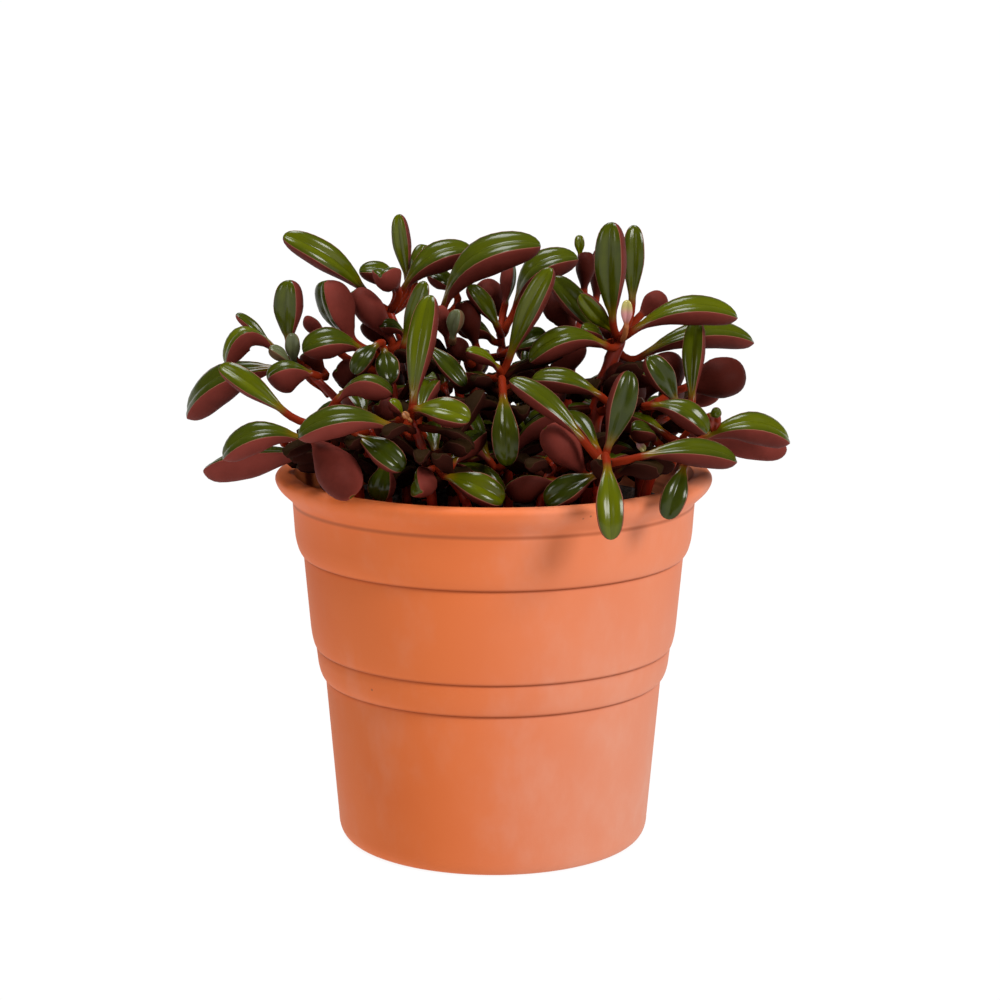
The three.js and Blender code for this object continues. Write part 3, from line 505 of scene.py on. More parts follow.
@dataclass
class Blade:
    """One leaf with its petiole: the ends of its midline, its width and arch, and where it joins."""

    base: np.ndarray
    tip: np.ndarray
    width: float
    arch: float
    face: np.ndarray
    joint: np.ndarray
    tone: Triple
    fine: bool = True

    def normal(self) -> np.ndarray:
        """The way out of the upper face, square to the line from the base to the tip."""
        along = unit(self.tip - self.base)
        return unit(self.face - along * (self.face @ along))

    def bow(self) -> Bow:
        """The curve of the midline, which arches towards the upper face."""
        return Bow(self.base, (self.base + self.tip) / 2 + self.normal() * 2 * self.arch, self.tip)

    def midline(self, share: Sequence[float]) -> Midline:
        """Works out the midline at shares of the leaf's length."""
        bow = self.bow()
        tangents = bow.heading(share)
        across = unit(cross(tangents, self.normal()))
        return Midline(bow.at(share), tangents, across, cross(across, tangents))

    def petiole(self) -> Bow:
        """The petiole's curve, from the stem to the leaf's base."""
        length = np.linalg.norm(self.joint - self.base)
        start = self.bow().heading([0.0])[0]
        return Bow(self.joint, self.base - RULE.petiole_straight * length * start, self.base)

    def petiole_radius(self) -> float:
        """A thin leaf has a thin petiole."""
        return min(RULE.petiole_radius, RULE.petiole_per_width * self.width)

    def beads(self) -> Beads:
        """The beads of the leaf and of its petiole."""
        line = self.midline(CLEAR.leaf_beads)
        widths = self.width * RULE.fullness(CLEAR.leaf_beads)
        on_leaf = line.points - line.normals * (CLEAR.bead_drop * widths)[:, None]
        on_petiole = self.petiole().at(CLEAR.petiole_beads)
        count = len(CLEAR.petiole_beads)
        return Beads(
            np.concatenate([on_leaf, on_petiole]),
            np.concatenate([CLEAR.bead_per_width * widths, np.full(count, RULE.petiole_radius)]),
            np.concatenate([CLEAR.leaf_beads, np.zeros(count)]),
        )


@dataclass(frozen=True)
class StemRule:
    """Sizes that all stems share."""

    buried: float = 12.0
    level: float = 95.4
    straight: float = 0.6
    tip_taper: float = 0.72
    highest_joint: float = 0.96
    lower_joint: float = 0.84


STEM = StemRule()


@dataclass
class Stem:
    """One leafy stem: where it stands in the soil, its growing tip, its radius and its leaves."""

    name: str
    root: Limits
    tip: np.ndarray
    radius: float
    blades: list[Blade] = field(default_factory=list)
    turn: float = 0.0

    @property
    def curve(self) -> Bow:
        """The stem's curve: straight up out of the soil, and then leaning to its tip."""
        foot = np.array([self.root[0], self.root[1], STEM.level])
        rise = STEM.straight * (self.tip[2] - foot[2])
        return Bow(foot, foot + np.array([0.0, 0.0, rise]), self.tip)

    def planned(self, row: LeafPlan) -> Blade:
        """Makes a leaf of this stem from its plan."""
        return Blade(
            base=VIEW.seen_at(row.base, row.depth[0]),
            tip=VIEW.seen_at(row.tip, row.depth[1]),
            width=row.width,
            arch=row.arch,
            face=np.array(row.face.value),
            joint=self.curve.at(min(row.start, STEM.highest_joint)),
            tone=row.tone.value,
        )

    def own_beads(self) -> Beads:
        """The beads of the stem without its leaves."""
        count = CLEAR.stem_beads
        points = self.curve.at(np.linspace(0.0, 1.0, count))
        return Beads(points, np.full(count, self.radius), np.zeros(count))

    def beads(self) -> Beads:
        """The beads of the stem and of its leaves."""
        return Beads.joined([self.own_beads(), *(blade.beads() for blade in self.blades)])


class Draw:
    """A seeded draw between two limits."""

    factor = 16807
    modulus = 2147483647

    def __init__(self, seed: int) -> None:
        """Starts the draws from a seed."""
        self.state = seed

    def __call__(self, limits: Limits) -> float:
        """Draws the next number between two limits."""
        self.state = (self.state * self.factor) % self.modulus
        low, high = limits
        return low + (high - low) * self.state / self.modulus


@dataclass(frozen=True)
class Group:
    """A group of stems that the front view doesn't show."""

    name: str
    count: int
    turn: Limits
    root: Limits
    reach: Limits
    height: Limits


@dataclass(frozen=True)
class Whorl:
    """How the leaves of a hidden stem stand round it."""

    leaves: int
    middle: float
    spread: float
    joints: tuple[float, ...] = (STEM.lower_joint, STEM.highest_joint)
    petiole: Limits = (3, 8)
    length: Limits = (15, 28)
    width: Limits = (5.6, 7.2)
    arch: Limits = (1, 4)
    climb: Limits = (-12, 58)
    droop: Limits = (4, 30)
    scatter: Limits = (-25, 25)
    fine: bool = True
    gap: float = CLEAR.gap
    tries: int = 70
    tones: tuple[Tone, ...] = (
        Tone.GREEN, Tone.DEEP, Tone.FRESH, Tone.MAUVE, Tone.DUSKY, Tone.GREEN, Tone.ROSY,
    )


@dataclass(frozen=True)
class Thicket:
    """The rule that the back and the inside of the plant grow by.

    The skyline, the rimline and the openings are pixels of the front view. What grows here shows between
    the two lines only, or behind a leaf of the front, and closes none of the openings.
    """

    seed: int = 8111
    tone_seed: int = 411
    tries: int = 70
    behind: Whorl = Whorl(leaves=2, middle=90, spread=110)
    groups: tuple[Group, ...] = (
        Group("back_outer", 7, (0, 180), (30, 43), (12, 20), (106, 118)),
        Group("back_inner", 4, (15, 165), (10, 27), (3, 10), (112, 128)),
        Group("inside", 3, (190, 350), (6, 28), (0, 5), (106, 118)),
    )
    leaves: int = 5
    cover: float = 0.6
    stray: Limits = (-10, 10)
    radius: Limits = (1.2, 1.6)
    half_width: float = 79
    depth: float = 80
    over_pot: float = 51
    lowest: float = 100
    skyline: tuple[Pixel, ...] = (
        (190, 472), (250, 452), (285, 436), (318, 418), (334, 372), (350, 346),
        (430, 336), (560, 332), (640, 352), (700, 372), (712, 425), (785, 447),
    )
    rimline: tuple[Pixel, ...] = (
        (190, 472), (290, 474), (350, 490), (500, 506), (650, 488), (700, 462), (785, 458),
    )
    opening: float = 6.0
    openings: tuple[Pixel, ...] = (
        (353, 338), (373, 294), (390, 297), (397, 307), (436, 297),
        (498, 360), (570, 288), (590, 368), (658, 342),
    )
    inner: Whorl = Whorl(
        leaves=14,
        middle=0,
        spread=720,
        joints=(0.9, 0.35, 0.7, 0.5, 0.8, 0.25, 0.6, 0.95, 0.42),
        petiole=(2, 7),
        length=(9, 19),
        width=(4.2, 6.8),
        arch=(0.5, 2),
        climb=(-15, 50),
        droop=(0, 24),
        fine=False,
        gap=0.0,
        tries=20,
        tones=(Tone.SHADED,),
    )


@dataclass
class Plant:
    """Grows every stem and leaf: the front ones from their plans, and the rest by the thicket's rule."""

    thicket: Thicket = Thicket()
    stems: list[Stem] = field(default_factory=list)

    def grow(self) -> list[Stem]:
        """Grows the whole plant.

        Returns:
            Its stems.
        """
        front = [self.front_stem(plan) for plan in FRONT_STEMS]
        self.bend_clear(front)
        LOG.info("front: %d stems, %d leaves", len(front), sum(len(stem.blades) for stem in front))
        hidden = self.grow_hidden(front)
        self.stems = [*front, *hidden]
        LOG.info("behind and inside: %d stems", len(hidden))
        return self.stems

    def front_stem(self, plan: StemPlan) -> Stem:
        """Makes a stem of the front view from its plan."""
        stem = Stem(plan.name, plan.root, VIEW.seen_at(plan.node, plan.depth), plan.radius)
        stem.blades = [stem.planned(row) for row in plan.leaves]
        return stem

    def bend_clear(self, stems: list[Stem]) -> None:
        """Slides leaves that would cross apart along the line of sight, a little at a time.

        Args:
            stems: The stems of the front view.
        """
        blades = [blade for stem in stems for blade in stem.blades]
        owner = np.array([number for number, stem in enumerate(stems) for _ in stem.blades])
        still = [stem.own_beads() for stem in stems]
        still_points = np.stack([beads.points for beads in still])
        still_radii = np.stack([beads.radii for beads in still])
        ways = unit(np.stack([(blade.base + blade.tip) / 2 - VIEW.eye for blade in blades]))
        tips = blades[0].beads().tips
        least = (1 - tips) ** 2 + tips**2
        same = owner[:, None] == owner[None]
        tied = (tips <= CLEAR.free)[:, None] | (tips <= CLEAR.free)[None]
        later = np.arange(len(blades))[:, None] < np.arange(len(blades))[None]
        for _ in range(CLEAR.rounds):
            beads = [blade.beads() for blade in blades]
            points = np.stack([one.points for one in beads])
            radii = np.stack([one.radii for one in beads])
            pushes = np.zeros((len(blades), len(tips)))
            among = self.slides(points, radii, points, radii, ways)
            among[same[:, None, :, None] & tied[None, :, None, :]] = 0.0
            first, one, second, other, amount = self.worst(among, later)
            np.add.at(pushes, (first, one), CLEAR.share * amount)
            np.add.at(pushes, (second, other), -CLEAR.share * amount)
            by_stem = self.slides(points, radii, still_points, still_radii, ways)
            foreign = owner[:, None] != np.arange(len(stems))[None]
            first, one, _, _, amount = self.worst(by_stem, foreign)
            np.add.at(pushes, (first, one), CLEAR.share_of_stem * amount)
            everything = Beads.joined(beads)
            away = np.repeat(np.sign(ways[:, 1]), len(tips))
            pushes += CLEAR.share * CLEAR.off_rim(everything, away).reshape(pushes.shape)
            base_moves = (pushes * (1 - tips) / least).sum(axis=1)
            tip_moves = (pushes * tips / least).sum(axis=1)
            for number, blade in enumerate(blades):
                blade.base = blade.base + ways[number] * base_moves[number]
                blade.tip = blade.tip + ways[number] * tip_moves[number]

    @staticmethod
    def slides(
        points: np.ndarray, radii: np.ndarray, others: np.ndarray, other_radii: np.ndarray, ways: np.ndarray
    ) -> np.ndarray:
        """How far apart along the line of sight each pair of beads has to move, or 0 if they are clear.

        Args:
            points: The beads of each leaf.
            radii: Their radii.
            others: The beads that they are compared with.
            other_radii: The radii of those.
            ways: The line of sight to each leaf.

        Returns:
            Distances by leaf, bead, other leaf or stem, and its bead.
        """
        reach = radii[:, :, None, None] + other_radii[None, None] + CLEAR.gap
        between = points[:, :, None, None] - others[None, None]
        square = (between**2).sum(axis=-1)
        along = (between * ways[:, None, None, None, :]).sum(axis=-1)
        root = np.sqrt(np.maximum(0.0, along**2 - square + reach**2))
        amount = np.where(along >= 0, root - along, -root - along)
        return np.where(square < reach**2, amount, 0.0)

    @staticmethod
    def worst(amounts: np.ndarray, wanted: np.ndarray) -> tuple[np.ndarray, ...]:
        """Picks the deepest crossing of each wanted pair.

        Args:
            amounts: Distances by leaf, bead, other and its bead.
            wanted: Which pairs of a leaf and another count.

        Returns:
            The leaf, its bead, the other, its bead and the distance of each pair that crosses.
        """
        first, second = np.nonzero(wanted)
        table = amounts.transpose(0, 2, 1, 3)[first, second]
        flat = table.reshape(len(first), -1)
        pick = np.abs(flat).argmax(axis=1)
        amount = flat[np.arange(len(first)), pick]
        crosses = amount != 0.0
        one, other = np.divmod(pick, amounts.shape[3])
        return first[crosses], one[crosses], second[crosses], other[crosses], amount[crosses]

    def stays_hidden(self, beads: Beads, screen: Beads) -> bool:
        """True for beads that close no opening and cover no leaf of the front, and that the front view
        shows between its two lines or behind such a leaf."""
        seen = VIEW.pixels_of(beads.points)
        scale = VIEW.focal / VIEW.distance
        reach = beads.radii * scale
        open_places = np.array(self.thicket.openings)
        from_openings = np.linalg.norm(seen[:, None] - open_places[None], axis=-1)
        if np.any(from_openings < reach[:, None] + self.thicket.opening):
            return False
        fronts = VIEW.pixels_of(screen.points)
        off = np.linalg.norm(seen[:, None] - fronts[None], axis=-1)
        nearer = screen.points[None, :, 1] < beads.points[:, None, 1]
        farther = screen.points[None, :, 1] > beads.points[:, None, 1]
        meets = off < reach[:, None] + screen.radii[None] * scale
        if np.any((screen.tips > CLEAR.free)[None] & farther & meets):
            return False
        below = seen[:, 1] - reach > np.interp(seen[:, 0], *zip(*self.thicket.skyline))
        above = seen[:, 1] + reach < np.interp(seen[:, 0], *zip(*self.thicket.rimline))
        covered = off + self.thicket.cover * reach[:, None] < screen.radii[None] * scale
        return bool(np.all((below & above) | (nearer & covered).any(axis=1)))

    def fits(self, beads: Beads, placed: Beads, screen: Beads, gap: float) -> bool:
        """True for beads that stay inside the plant, off the pot and clear of everything placed."""
        rule = self.thicket
        over_pot = np.hypot(beads.points[:, 0], beads.points[:, 1]) + beads.radii < rule.over_pot
        floor = np.where(over_pot, STEM.level, rule.lowest)
        inside = (
            np.all(beads.points[:, 2] - beads.radii > floor)
            and np.all(np.abs(beads.points[:, 0]) + beads.radii < rule.half_width)
            and np.all(beads.points[:, 1] + beads.radii < rule.depth)
            and not np.any(CLEAR.off_rim(beads, np.ones(len(beads.radii))))
        )
        return bool(inside) and beads.clear_of(placed, gap) and self.stays_hidden(beads, screen)

    def add_leaves(
        self, stem: Stem, whorl: Whorl, placed: Beads, screen: Beads, draw: Draw, hues: Draw
    ) -> None:
        """Adds leaves round a stem, each drawn again until it is clear of everything.

        Args:
            stem: The stem.
            whorl: How the leaves stand.
            placed: What they stay clear of.
            screen: The leaves of the front, which may hide them.
            draw: The draw for shapes.
            hues: The draw for colouring.
        """
        curve = stem.curve
        still = stem.own_beads()
        for number in range(whorl.leaves):
            middle = whorl.middle + ((number + 0.5) / whorl.leaves - 0.5) * whorl.spread
            joint = curve.at(whorl.joints[number % len(whorl.joints)])
            siblings = Beads.joined([still, *(other.beads() for other in stem.blades)]).beyond(CLEAR.free)
            for _ in range(whorl.tries):
                turn = math.radians(middle + draw(whorl.scatter))
                climb = math.radians(draw(whorl.climb))
                lower = climb - math.radians(draw(whorl.droop))
                base = joint + self.way(turn, climb) * draw(whorl.petiole)
                tip = base + self.way(turn, lower) * draw(whorl.length)
                width = draw(whorl.width)
                arch = draw(whorl.arch)
                face = np.array(Facing.UPRIGHT.value)
                blade = Blade(base, tip, width, arch, face, joint, Tone.GREEN.value, whorl.fine)
                beads = blade.beads()
                if not beads.beyond(CLEAR.free).clear_of(siblings, 0.0):
                    continue
                if not self.fits(beads, placed, screen, whorl.gap):
                    continue
                blade.tone = whorl.tones[round(hues((0, len(whorl.tones) - 1)))].value
                stem.blades.append(blade)
                break

    @staticmethod
    def way(turn: float, rise: float) -> np.ndarray:
        """The direction at a turn about Z and a rise above level."""
        return np.array([math.cos(turn) * math.cos(rise), math.sin(turn) * math.cos(rise), math.sin(rise)])

    def hidden_stem(self, group: Group, number: int, draw: Draw) -> Stem:
        """Draws one stem of a group, without leaves."""
        low, high = group.turn
        turn = low + ((number + 0.5) / group.count) * (high - low) + draw(self.thicket.stray)
        across, away = math.cos(math.radians(turn)), math.sin(math.radians(turn))
        foot = draw(group.root)
        reach = foot + draw(group.reach)
        tip = np.array([reach * across, reach * away, draw(group.height)])
        radius = draw(self.thicket.radius)
        return Stem(f"{group.name}_{number + 1}", (foot * across, foot * away), tip, radius, turn=turn)

    def grow_hidden(self, front: list[Stem]) -> list[Stem]:
        """Leafs the back of the front stems, grows the hidden stems, and then fills the inside.

        Args:
            front: The stems of the front view.

        Returns:
            The hidden stems.
        """
        rule = self.thicket
        draw = Draw(rule.seed)
        hues = Draw(rule.tone_seed)
        screen = Beads.joined(blade.beads() for stem in front for blade in stem.blades).beyond(0.0)
        for stem in front:
            others = Beads.joined(other.beads() for other in front if other is not stem)
            self.add_leaves(stem, rule.behind, others, screen, draw, hues)
        placed = Beads.joined(stem.beads() for stem in front)
        hidden: list[Stem] = []
        for group in rule.groups:
            for number in range(group.count):
                for _ in range(rule.tries):
                    stem = self.hidden_stem(group, number, draw)
                    if not stem.own_beads().clear_of(placed, CLEAR.gap):
                        continue
                    whorl = Whorl(leaves=rule.leaves, middle=stem.turn, spread=FULL_TURN)
                    self.add_leaves(stem, whorl, placed, screen, draw, hues)
                    if not stem.blades:
                        continue
                    placed = Beads.joined([placed, stem.beads()])
                    hidden.append(stem)
                    break
        self.fill_inside([*front, *hidden], screen, draw, hues)
        return hidden

    def fill_inside(self, stems: list[Stem], screen: Beads, draw: Draw, hues: Draw) -> None:
        """Adds the small leaves low on every stem, which make the plant dense."""
        for stem in stems:
            others = Beads.joined(other.beads() for other in stems if other is not stem)
            self.add_leaves(stem, self.thicket.inner, others, screen, draw, hues)


Value = Union["Wire", float]


class Wire:
    """One output of a material's node, with Python's operators for sums on it."""

    def __init__(self, bench: Bench, socket: bpy.types.NodeSocket) -> None:
        """Wraps a socket."""
        self.bench = bench
        self.socket = socket

    def __add__(self, other: Value) -> Wire:
        """Adds."""
        return self.bench.sum("ADD", self, other)

    __radd__ = __add__

    def __sub__(self, other: Value) -> Wire:
        """Takes away."""
        return self.bench.sum("SUBTRACT", self, other)

    def __rsub__(self, other: Value) -> Wire:
        """Takes this away from a number."""
        return self.bench.sum("SUBTRACT", other, self)

    def __mul__(self, other: Value) -> Wire:
        """Multiplies."""
        return self.bench.sum("MULTIPLY", self, other)

    __rmul__ = __mul__

    def __abs__(self) -> Wire:
        """The size without the sign."""
        return self.bench.sum("ABSOLUTE", self)


@dataclass(frozen=True)
class Pattern:
    """A noise: its scale, its detail, its roughness, and how its coordinates are stretched, if at all."""

    scale: float
    detail: float = 3.0
    rough: float = 0.55
    stretch: Union[Triple, None] = None


@dataclass(frozen=True)
class Bump:
    """How strongly a bump shows, and how deep it is in metres."""

    strength: float
    depth: float


class Bench:
    """Where the nodes of a material or of the world are put together."""

    mix_share = 0
    mix_first = 6
    mix_second = 7
    mix_result = 2
    noise_middle = 0.5

    def __init__(self, tree: bpy.types.NodeTree, output: bpy.types.Node) -> None:
        """Starts on a node tree and its output."""
        self.tree = tree
        self.output = output

    @classmethod
    def for_material(cls, name: str) -> tuple[Bench, bpy.types.Material]:
        """Makes a material and a bench for it.

        Args:
            name: The material's name.

        Returns:
            The bench and the material.
        """
        material = bpy.data.materials.new(name)
        material.use_nodes = True
        tree = material.node_tree
        tree.nodes.remove(tree.nodes["Principled BSDF"])
        return cls(tree, tree.nodes["Material Output"]), material

    def node(
        self, kind: str, settings: dict[str, object], inputs: dict[object, object], output: object = 0
    ) -> Wire:
        """Adds one node.

        Args:
            kind: The node's type, without its ShaderNode.
            settings: Its options, which are set first.
            inputs: A value or a wire for each input that is set.
            output: The output that is wanted.

        Returns:
            That output.
        """
        made = self.tree.nodes.new("ShaderNode" + kind)
        for option, value in settings.items():
            setattr(made, option, value)
        for key, value in inputs.items():
            self.feed(made.inputs[key], value)
        return Wire(self, made.outputs[output])

    def feed(self, socket: bpy.types.NodeSocket, value: object) -> None:
        """Links a wire to a socket, or sets the socket's own value."""
        if isinstance(value, Wire):
            self.tree.links.new(value.socket, socket)
        else:
            socket.default_value = value

    def sum(self, operation: str, *values: Value) -> Wire:
        """Adds a Math node."""
        return self.node("Math", {"operation": operation}, dict(enumerate(values)))

    def step(self, value: Wire, low: float, high: float) -> Wire:
        """Rises smoothly from 0 at low to 1 at high, or the other way where high is the lower one."""
        if low <= high:
            settings = {"interpolation_type": "SMOOTHSTEP"}
            return self.node("MapRange", settings, {"Value": value, "From Min": low, "From Max": high})
        return 1.0 - self.step(value, high, low)

    def mix(self, share: Value, first: object, second: object) -> Wire:
        """Mixes two colours."""
        inputs = {
            self.mix_share: share,
            self.mix_first: self.colour(first),
            self.mix_second: self.colour(second),
        }
        return self.node("Mix", {"data_type": "RGBA"}, inputs, self.mix_result)

    @staticmethod
    def colour(value: object) -> object:
        """Gives a colour its alpha, and leaves a wire as it is."""
        return value if isinstance(value, Wire) else (*value, 1.0)

    def place(self) -> Wire:
        """The piece's own coordinates."""
        return self.node("TexCoord", {}, {}, "Object")

    def attribute(self, name: str) -> tuple[Wire, Wire, Wire]:
        """Reads an attribute of the mesh.

        Args:
            name: The attribute's name.

        Returns:
            Its three numbers.
        """
        vector = self.node("Attribute", {"attribute_name": name}, {}, "Vector")
        return self.part(vector, "X"), self.part(vector, "Y"), self.part(vector, "Z")

    def part(self, vector: Wire, axis: str) -> Wire:
        """Takes the part of a vector along an axis."""
        return self.node("SeparateXYZ", {}, {"Vector": vector}, axis)

    def noise(self, place: Wire, pattern: Pattern) -> Wire:
        """Adds a noise from 0 to 1.

        Args:
            place: The coordinates.
            pattern: How the noise is drawn on them.

        Returns:
            The noise.
        """
        if pattern.stretch:
            place = self.node("Mapping", {}, {"Vector": place, "Scale": pattern.stretch})
        inputs = {
            "Vector": place,
            "Scale": pattern.scale,
            "Detail": pattern.detail,
            "Roughness": pattern.rough,
        }
        return self.node("TexNoise", {}, inputs)

    def sway(self, noise_wire: Wire, width: float) -> Wire:
        """Moves a noise from 0 to 1 so that it sways about 0, over a width."""
        return (noise_wire - self.noise_middle) * width

    def bump(self, height: Wire, bump: Bump) -> Wire:
        """Adds a bump from a height."""
        return self.node("Bump", {}, {"Height": height, "Strength": bump.strength, "Distance": bump.depth})

    def show(self, surface: Wire) -> None:
        """Links a surface to the output."""
        self.tree.links.new(surface.socket, self.output.inputs["Surface"])

    def finish(self, inputs: dict[object, object]) -> None:
        """Adds the surface, with a value or a wire for each of its inputs."""
        self.show(self.node("BsdfPrincipled", {}, inputs))


@dataclass(frozen=True)
class LeafFinish:
    """A glossy green window over a matte wine-red underside, with a thin pale margin between them."""

    deep: Triple = (0.022, 0.031, 0.001)
    fresh: Triple = (0.088, 0.103, 0.0)
    base: Triple = (0.150, 0.080, 0.001)
    young: Triple = (0.100, 0.110, 0.050)
    bud_tip: Triple = (0.420, 0.360, 0.110)
    bud_middle: Triple = (0.600, 0.270, 0.260)
    bud_foot: Triple = (0.380, 0.120, 0.040)
    ochre: Triple = (0.340, 0.130, 0.045)
    margin: Triple = (0.290, 0.125, 0.080)
    wine: Triple = (0.052, 0.008, 0.005)
    rose: Triple = (0.185, 0.034, 0.025)
    stalk: Triple = (0.190, 0.017, 0.004)
    # The painted shade of leaves deep inside the plant.
    shade: Triple = (0.019, 0.005, 0.003)
    blade_starts: Limits = (-0.02, 0.10)
    edge_sway: float = 0.03
    window_edge: float = 0.45
    window_softness: float = 0.02
    margin_middle: float = 0.482
    margin_half: float = 0.040
    margin_core: float = 0.3
    margin_strength: float = 0.75
    lobe_starts: float = 0.12
    green_at_groove: float = 1.15
    green_lost_outward: float = 0.75
    green_sway: float = 0.5
    base_ends: Limits = (0.26, 0.04)
    groove_half: float = 0.07
    groove_strength: float = 0.35
    red_least: float = 0.25
    red_sway: float = 0.6
    # Where the painted shade along the keel starts, and how dark it gets.
    keel_shade_starts: Limits = (0.52, 0.95)
    keel_shade_strength: float = 0.6
    young_underside: float = 0.5
    bud_foot_ends: Limits = (0.1, 0.4)
    bud_tip_starts: Limits = (0.5, 0.85)
    bud_youth: Limits = (1.2, 2.0)
    below_zero: Limits = (0.0, -1.0)
    shade_strength: float = 0.85
    gloss: float = 0.32
    matte: float = 0.55
    dull: float = 0.95
    specular: float = 0.03
    coat: float = 0.5
    coat_roughness: float = 0.17
    grain_roughness: float = 0.1
    mottle: Pattern = Pattern(190.0)
    grain: Pattern = Pattern(2600.0, 2.0)
    ribs: Pattern = Pattern(1.0, 1.0, stretch=(5.0, 1.6, 1.0))
    grain_height: float = 0.4
    rib_height: float = 0.35
    mottle_height: float = 0.25
    bump: Bump = Bump(0.25, 0.0003)

    def material(self) -> bpy.types.Material:
        """Makes the material. The mesh says where on a leaf each place is, and how the leaf is coloured."""
        bench, material = Bench.for_material("leaf")
        across, girth, along = bench.attribute(PLACE_LAYER)
        freshness, rosiness, youth = bench.attribute(TONE_LAYER)
        place = bench.place()
        mottle = bench.noise(place, self.mottle)
        grain = bench.noise(place, self.grain)
        blade = bench.step(along, *self.blade_starts)
        soft_girth = girth + bench.sway(mottle, self.edge_sway)
        outer, inner = self.window_edge + self.window_softness, self.window_edge - self.window_softness
        window = bench.step(soft_girth, outer, inner) * blade
        off_margin = abs(soft_girth - self.margin_middle)
        rim = bench.step(off_margin, self.margin_half, self.margin_core * self.margin_half) * blade
        red = bench.mix(blade, self.stalk, self.underside(bench, girth, rosiness, mottle))
        red = bench.mix(youth * self.young_underside, red, self.young)
        colour = bench.mix(window, red, self.upper(bench, (across, girth, along), freshness, youth, mottle))
        colour = bench.mix(rim * self.margin_strength, colour, self.margin)
        bud = bench.mix(bench.step(along, *self.bud_foot_ends), self.bud_foot, self.bud_middle)
        bud = bench.mix(bench.step(along, *self.bud_tip_starts), bud, self.bud_tip)
        bud = bench.mix(freshness, self.ochre, bud)
        colour = bench.mix(bench.step(youth, *self.bud_youth), colour, bud)
        colour = bench.mix(bench.step(youth, *self.below_zero), colour, self.stalk)
        # Painted shade: a leaf of Tone.SHADED, deep inside the plant, is darkened all over as if in shadow.
        shaded = bench.step(rosiness, *self.below_zero)
        colour = bench.mix(shaded * self.shade_strength, colour, self.shade)
        roughness = self.matte + (self.gloss - self.matte) * window + (self.dull - self.matte) * shaded
        ribs = bench.noise(bench.node("CombineXYZ", {}, {"X": across, "Y": along}), self.ribs)
        height = grain * (1.0 - window) * self.grain_height + ribs * window * self.rib_height
        height = height + mottle * self.mottle_height
        bench.finish({
            "Base Color": colour,
            "Roughness": roughness + bench.sway(grain, self.grain_roughness),
            "Specular IOR Level": self.specular,
            "Coat Weight": window * (1.0 - shaded) * self.coat,
            "Coat Roughness": self.coat_roughness,
            "Normal": bench.bump(height, self.bump),
        })
        return material

    def upper(
        self, bench: Bench, where: tuple[Wire, Wire, Wire], freshness: Wire, youth: Wire, mottle: Wire
    ) -> Wire:
        """Colours the upper face.

        Args:
            bench: The bench.
            where: The place across the leaf, round it and along it.
            freshness: How fresh the leaf's green is.
            youth: How young the leaf is.
            mottle: A soft pattern.

        Returns:
            The colour.
        """
        across, girth, along = where
        outward = bench.step(girth, self.lobe_starts, self.window_edge)
        share = freshness * (self.green_at_groove - self.green_lost_outward * outward)
        green = bench.mix(share + bench.sway(mottle, self.green_sway), self.deep, self.fresh)
        green = bench.mix(bench.step(along, *self.base_ends), green, self.base)
        green = bench.mix(youth, green, self.young)
        groove = bench.step(abs(across), self.groove_half, 0.0)
        return bench.mix(groove * self.groove_strength, green, self.deep)

    def underside(self, bench: Bench, girth: Wire, rosiness: Wire, mottle: Wire) -> Wire:
        """Colours the underside, with painted shade that darkens it along the keel."""
        # Painted shade: the underside grows darker towards the keel.
        keel = bench.step(girth, *self.keel_shade_starts)
        share = rosiness + bench.sway(mottle, self.red_sway) + self.red_least - keel * self.keel_shade_strength
        return bench.mix(share, self.wine, self.rose)


@dataclass(frozen=True)
class StemFinish:
    """A fleshy brick-red stem, a little glossy, with brown patches and thin green streaks."""

    red: Triple = (0.360, 0.020, 0.005)
    brown: Triple = (0.150, 0.013, 0.005)
    green: Triple = (0.110, 0.050, 0.008)
    streaks: Pattern = Pattern(1.0, 2.0, stretch=(900.0, 900.0, 90.0))
    patches: Pattern = Pattern(120.0)
    brown_starts: Limits = (0.35, 0.7)
    green_starts: Limits = (0.5, 0.9)
    green_strength: float = 0.4
    roughness: float = 0.36
    streak_roughness: float = 0.2
    specular: float = 0.25
    patch_height: float = 0.5
    bump: Bump = Bump(0.4, 0.0003)

    def material(self) -> bpy.types.Material:
        """Makes the material."""
        bench, material = Bench.for_material("stem")
        place = bench.place()
        streaks = bench.noise(place, self.streaks)
        patches = bench.noise(place, self.patches)
        colour = bench.mix(bench.step(patches, *self.brown_starts), self.red, self.brown)
        green = bench.step(streaks, *self.green_starts) * self.green_strength
        colour = bench.mix(green, colour, self.green)
        bench.finish({
            "Base Color": colour,
            "Roughness": self.roughness + bench.sway(streaks, self.streak_roughness),
            "Specular IOR Level": self.specular,
            "Normal": bench.bump(streaks + patches * self.patch_height, self.bump),
        })
        return material


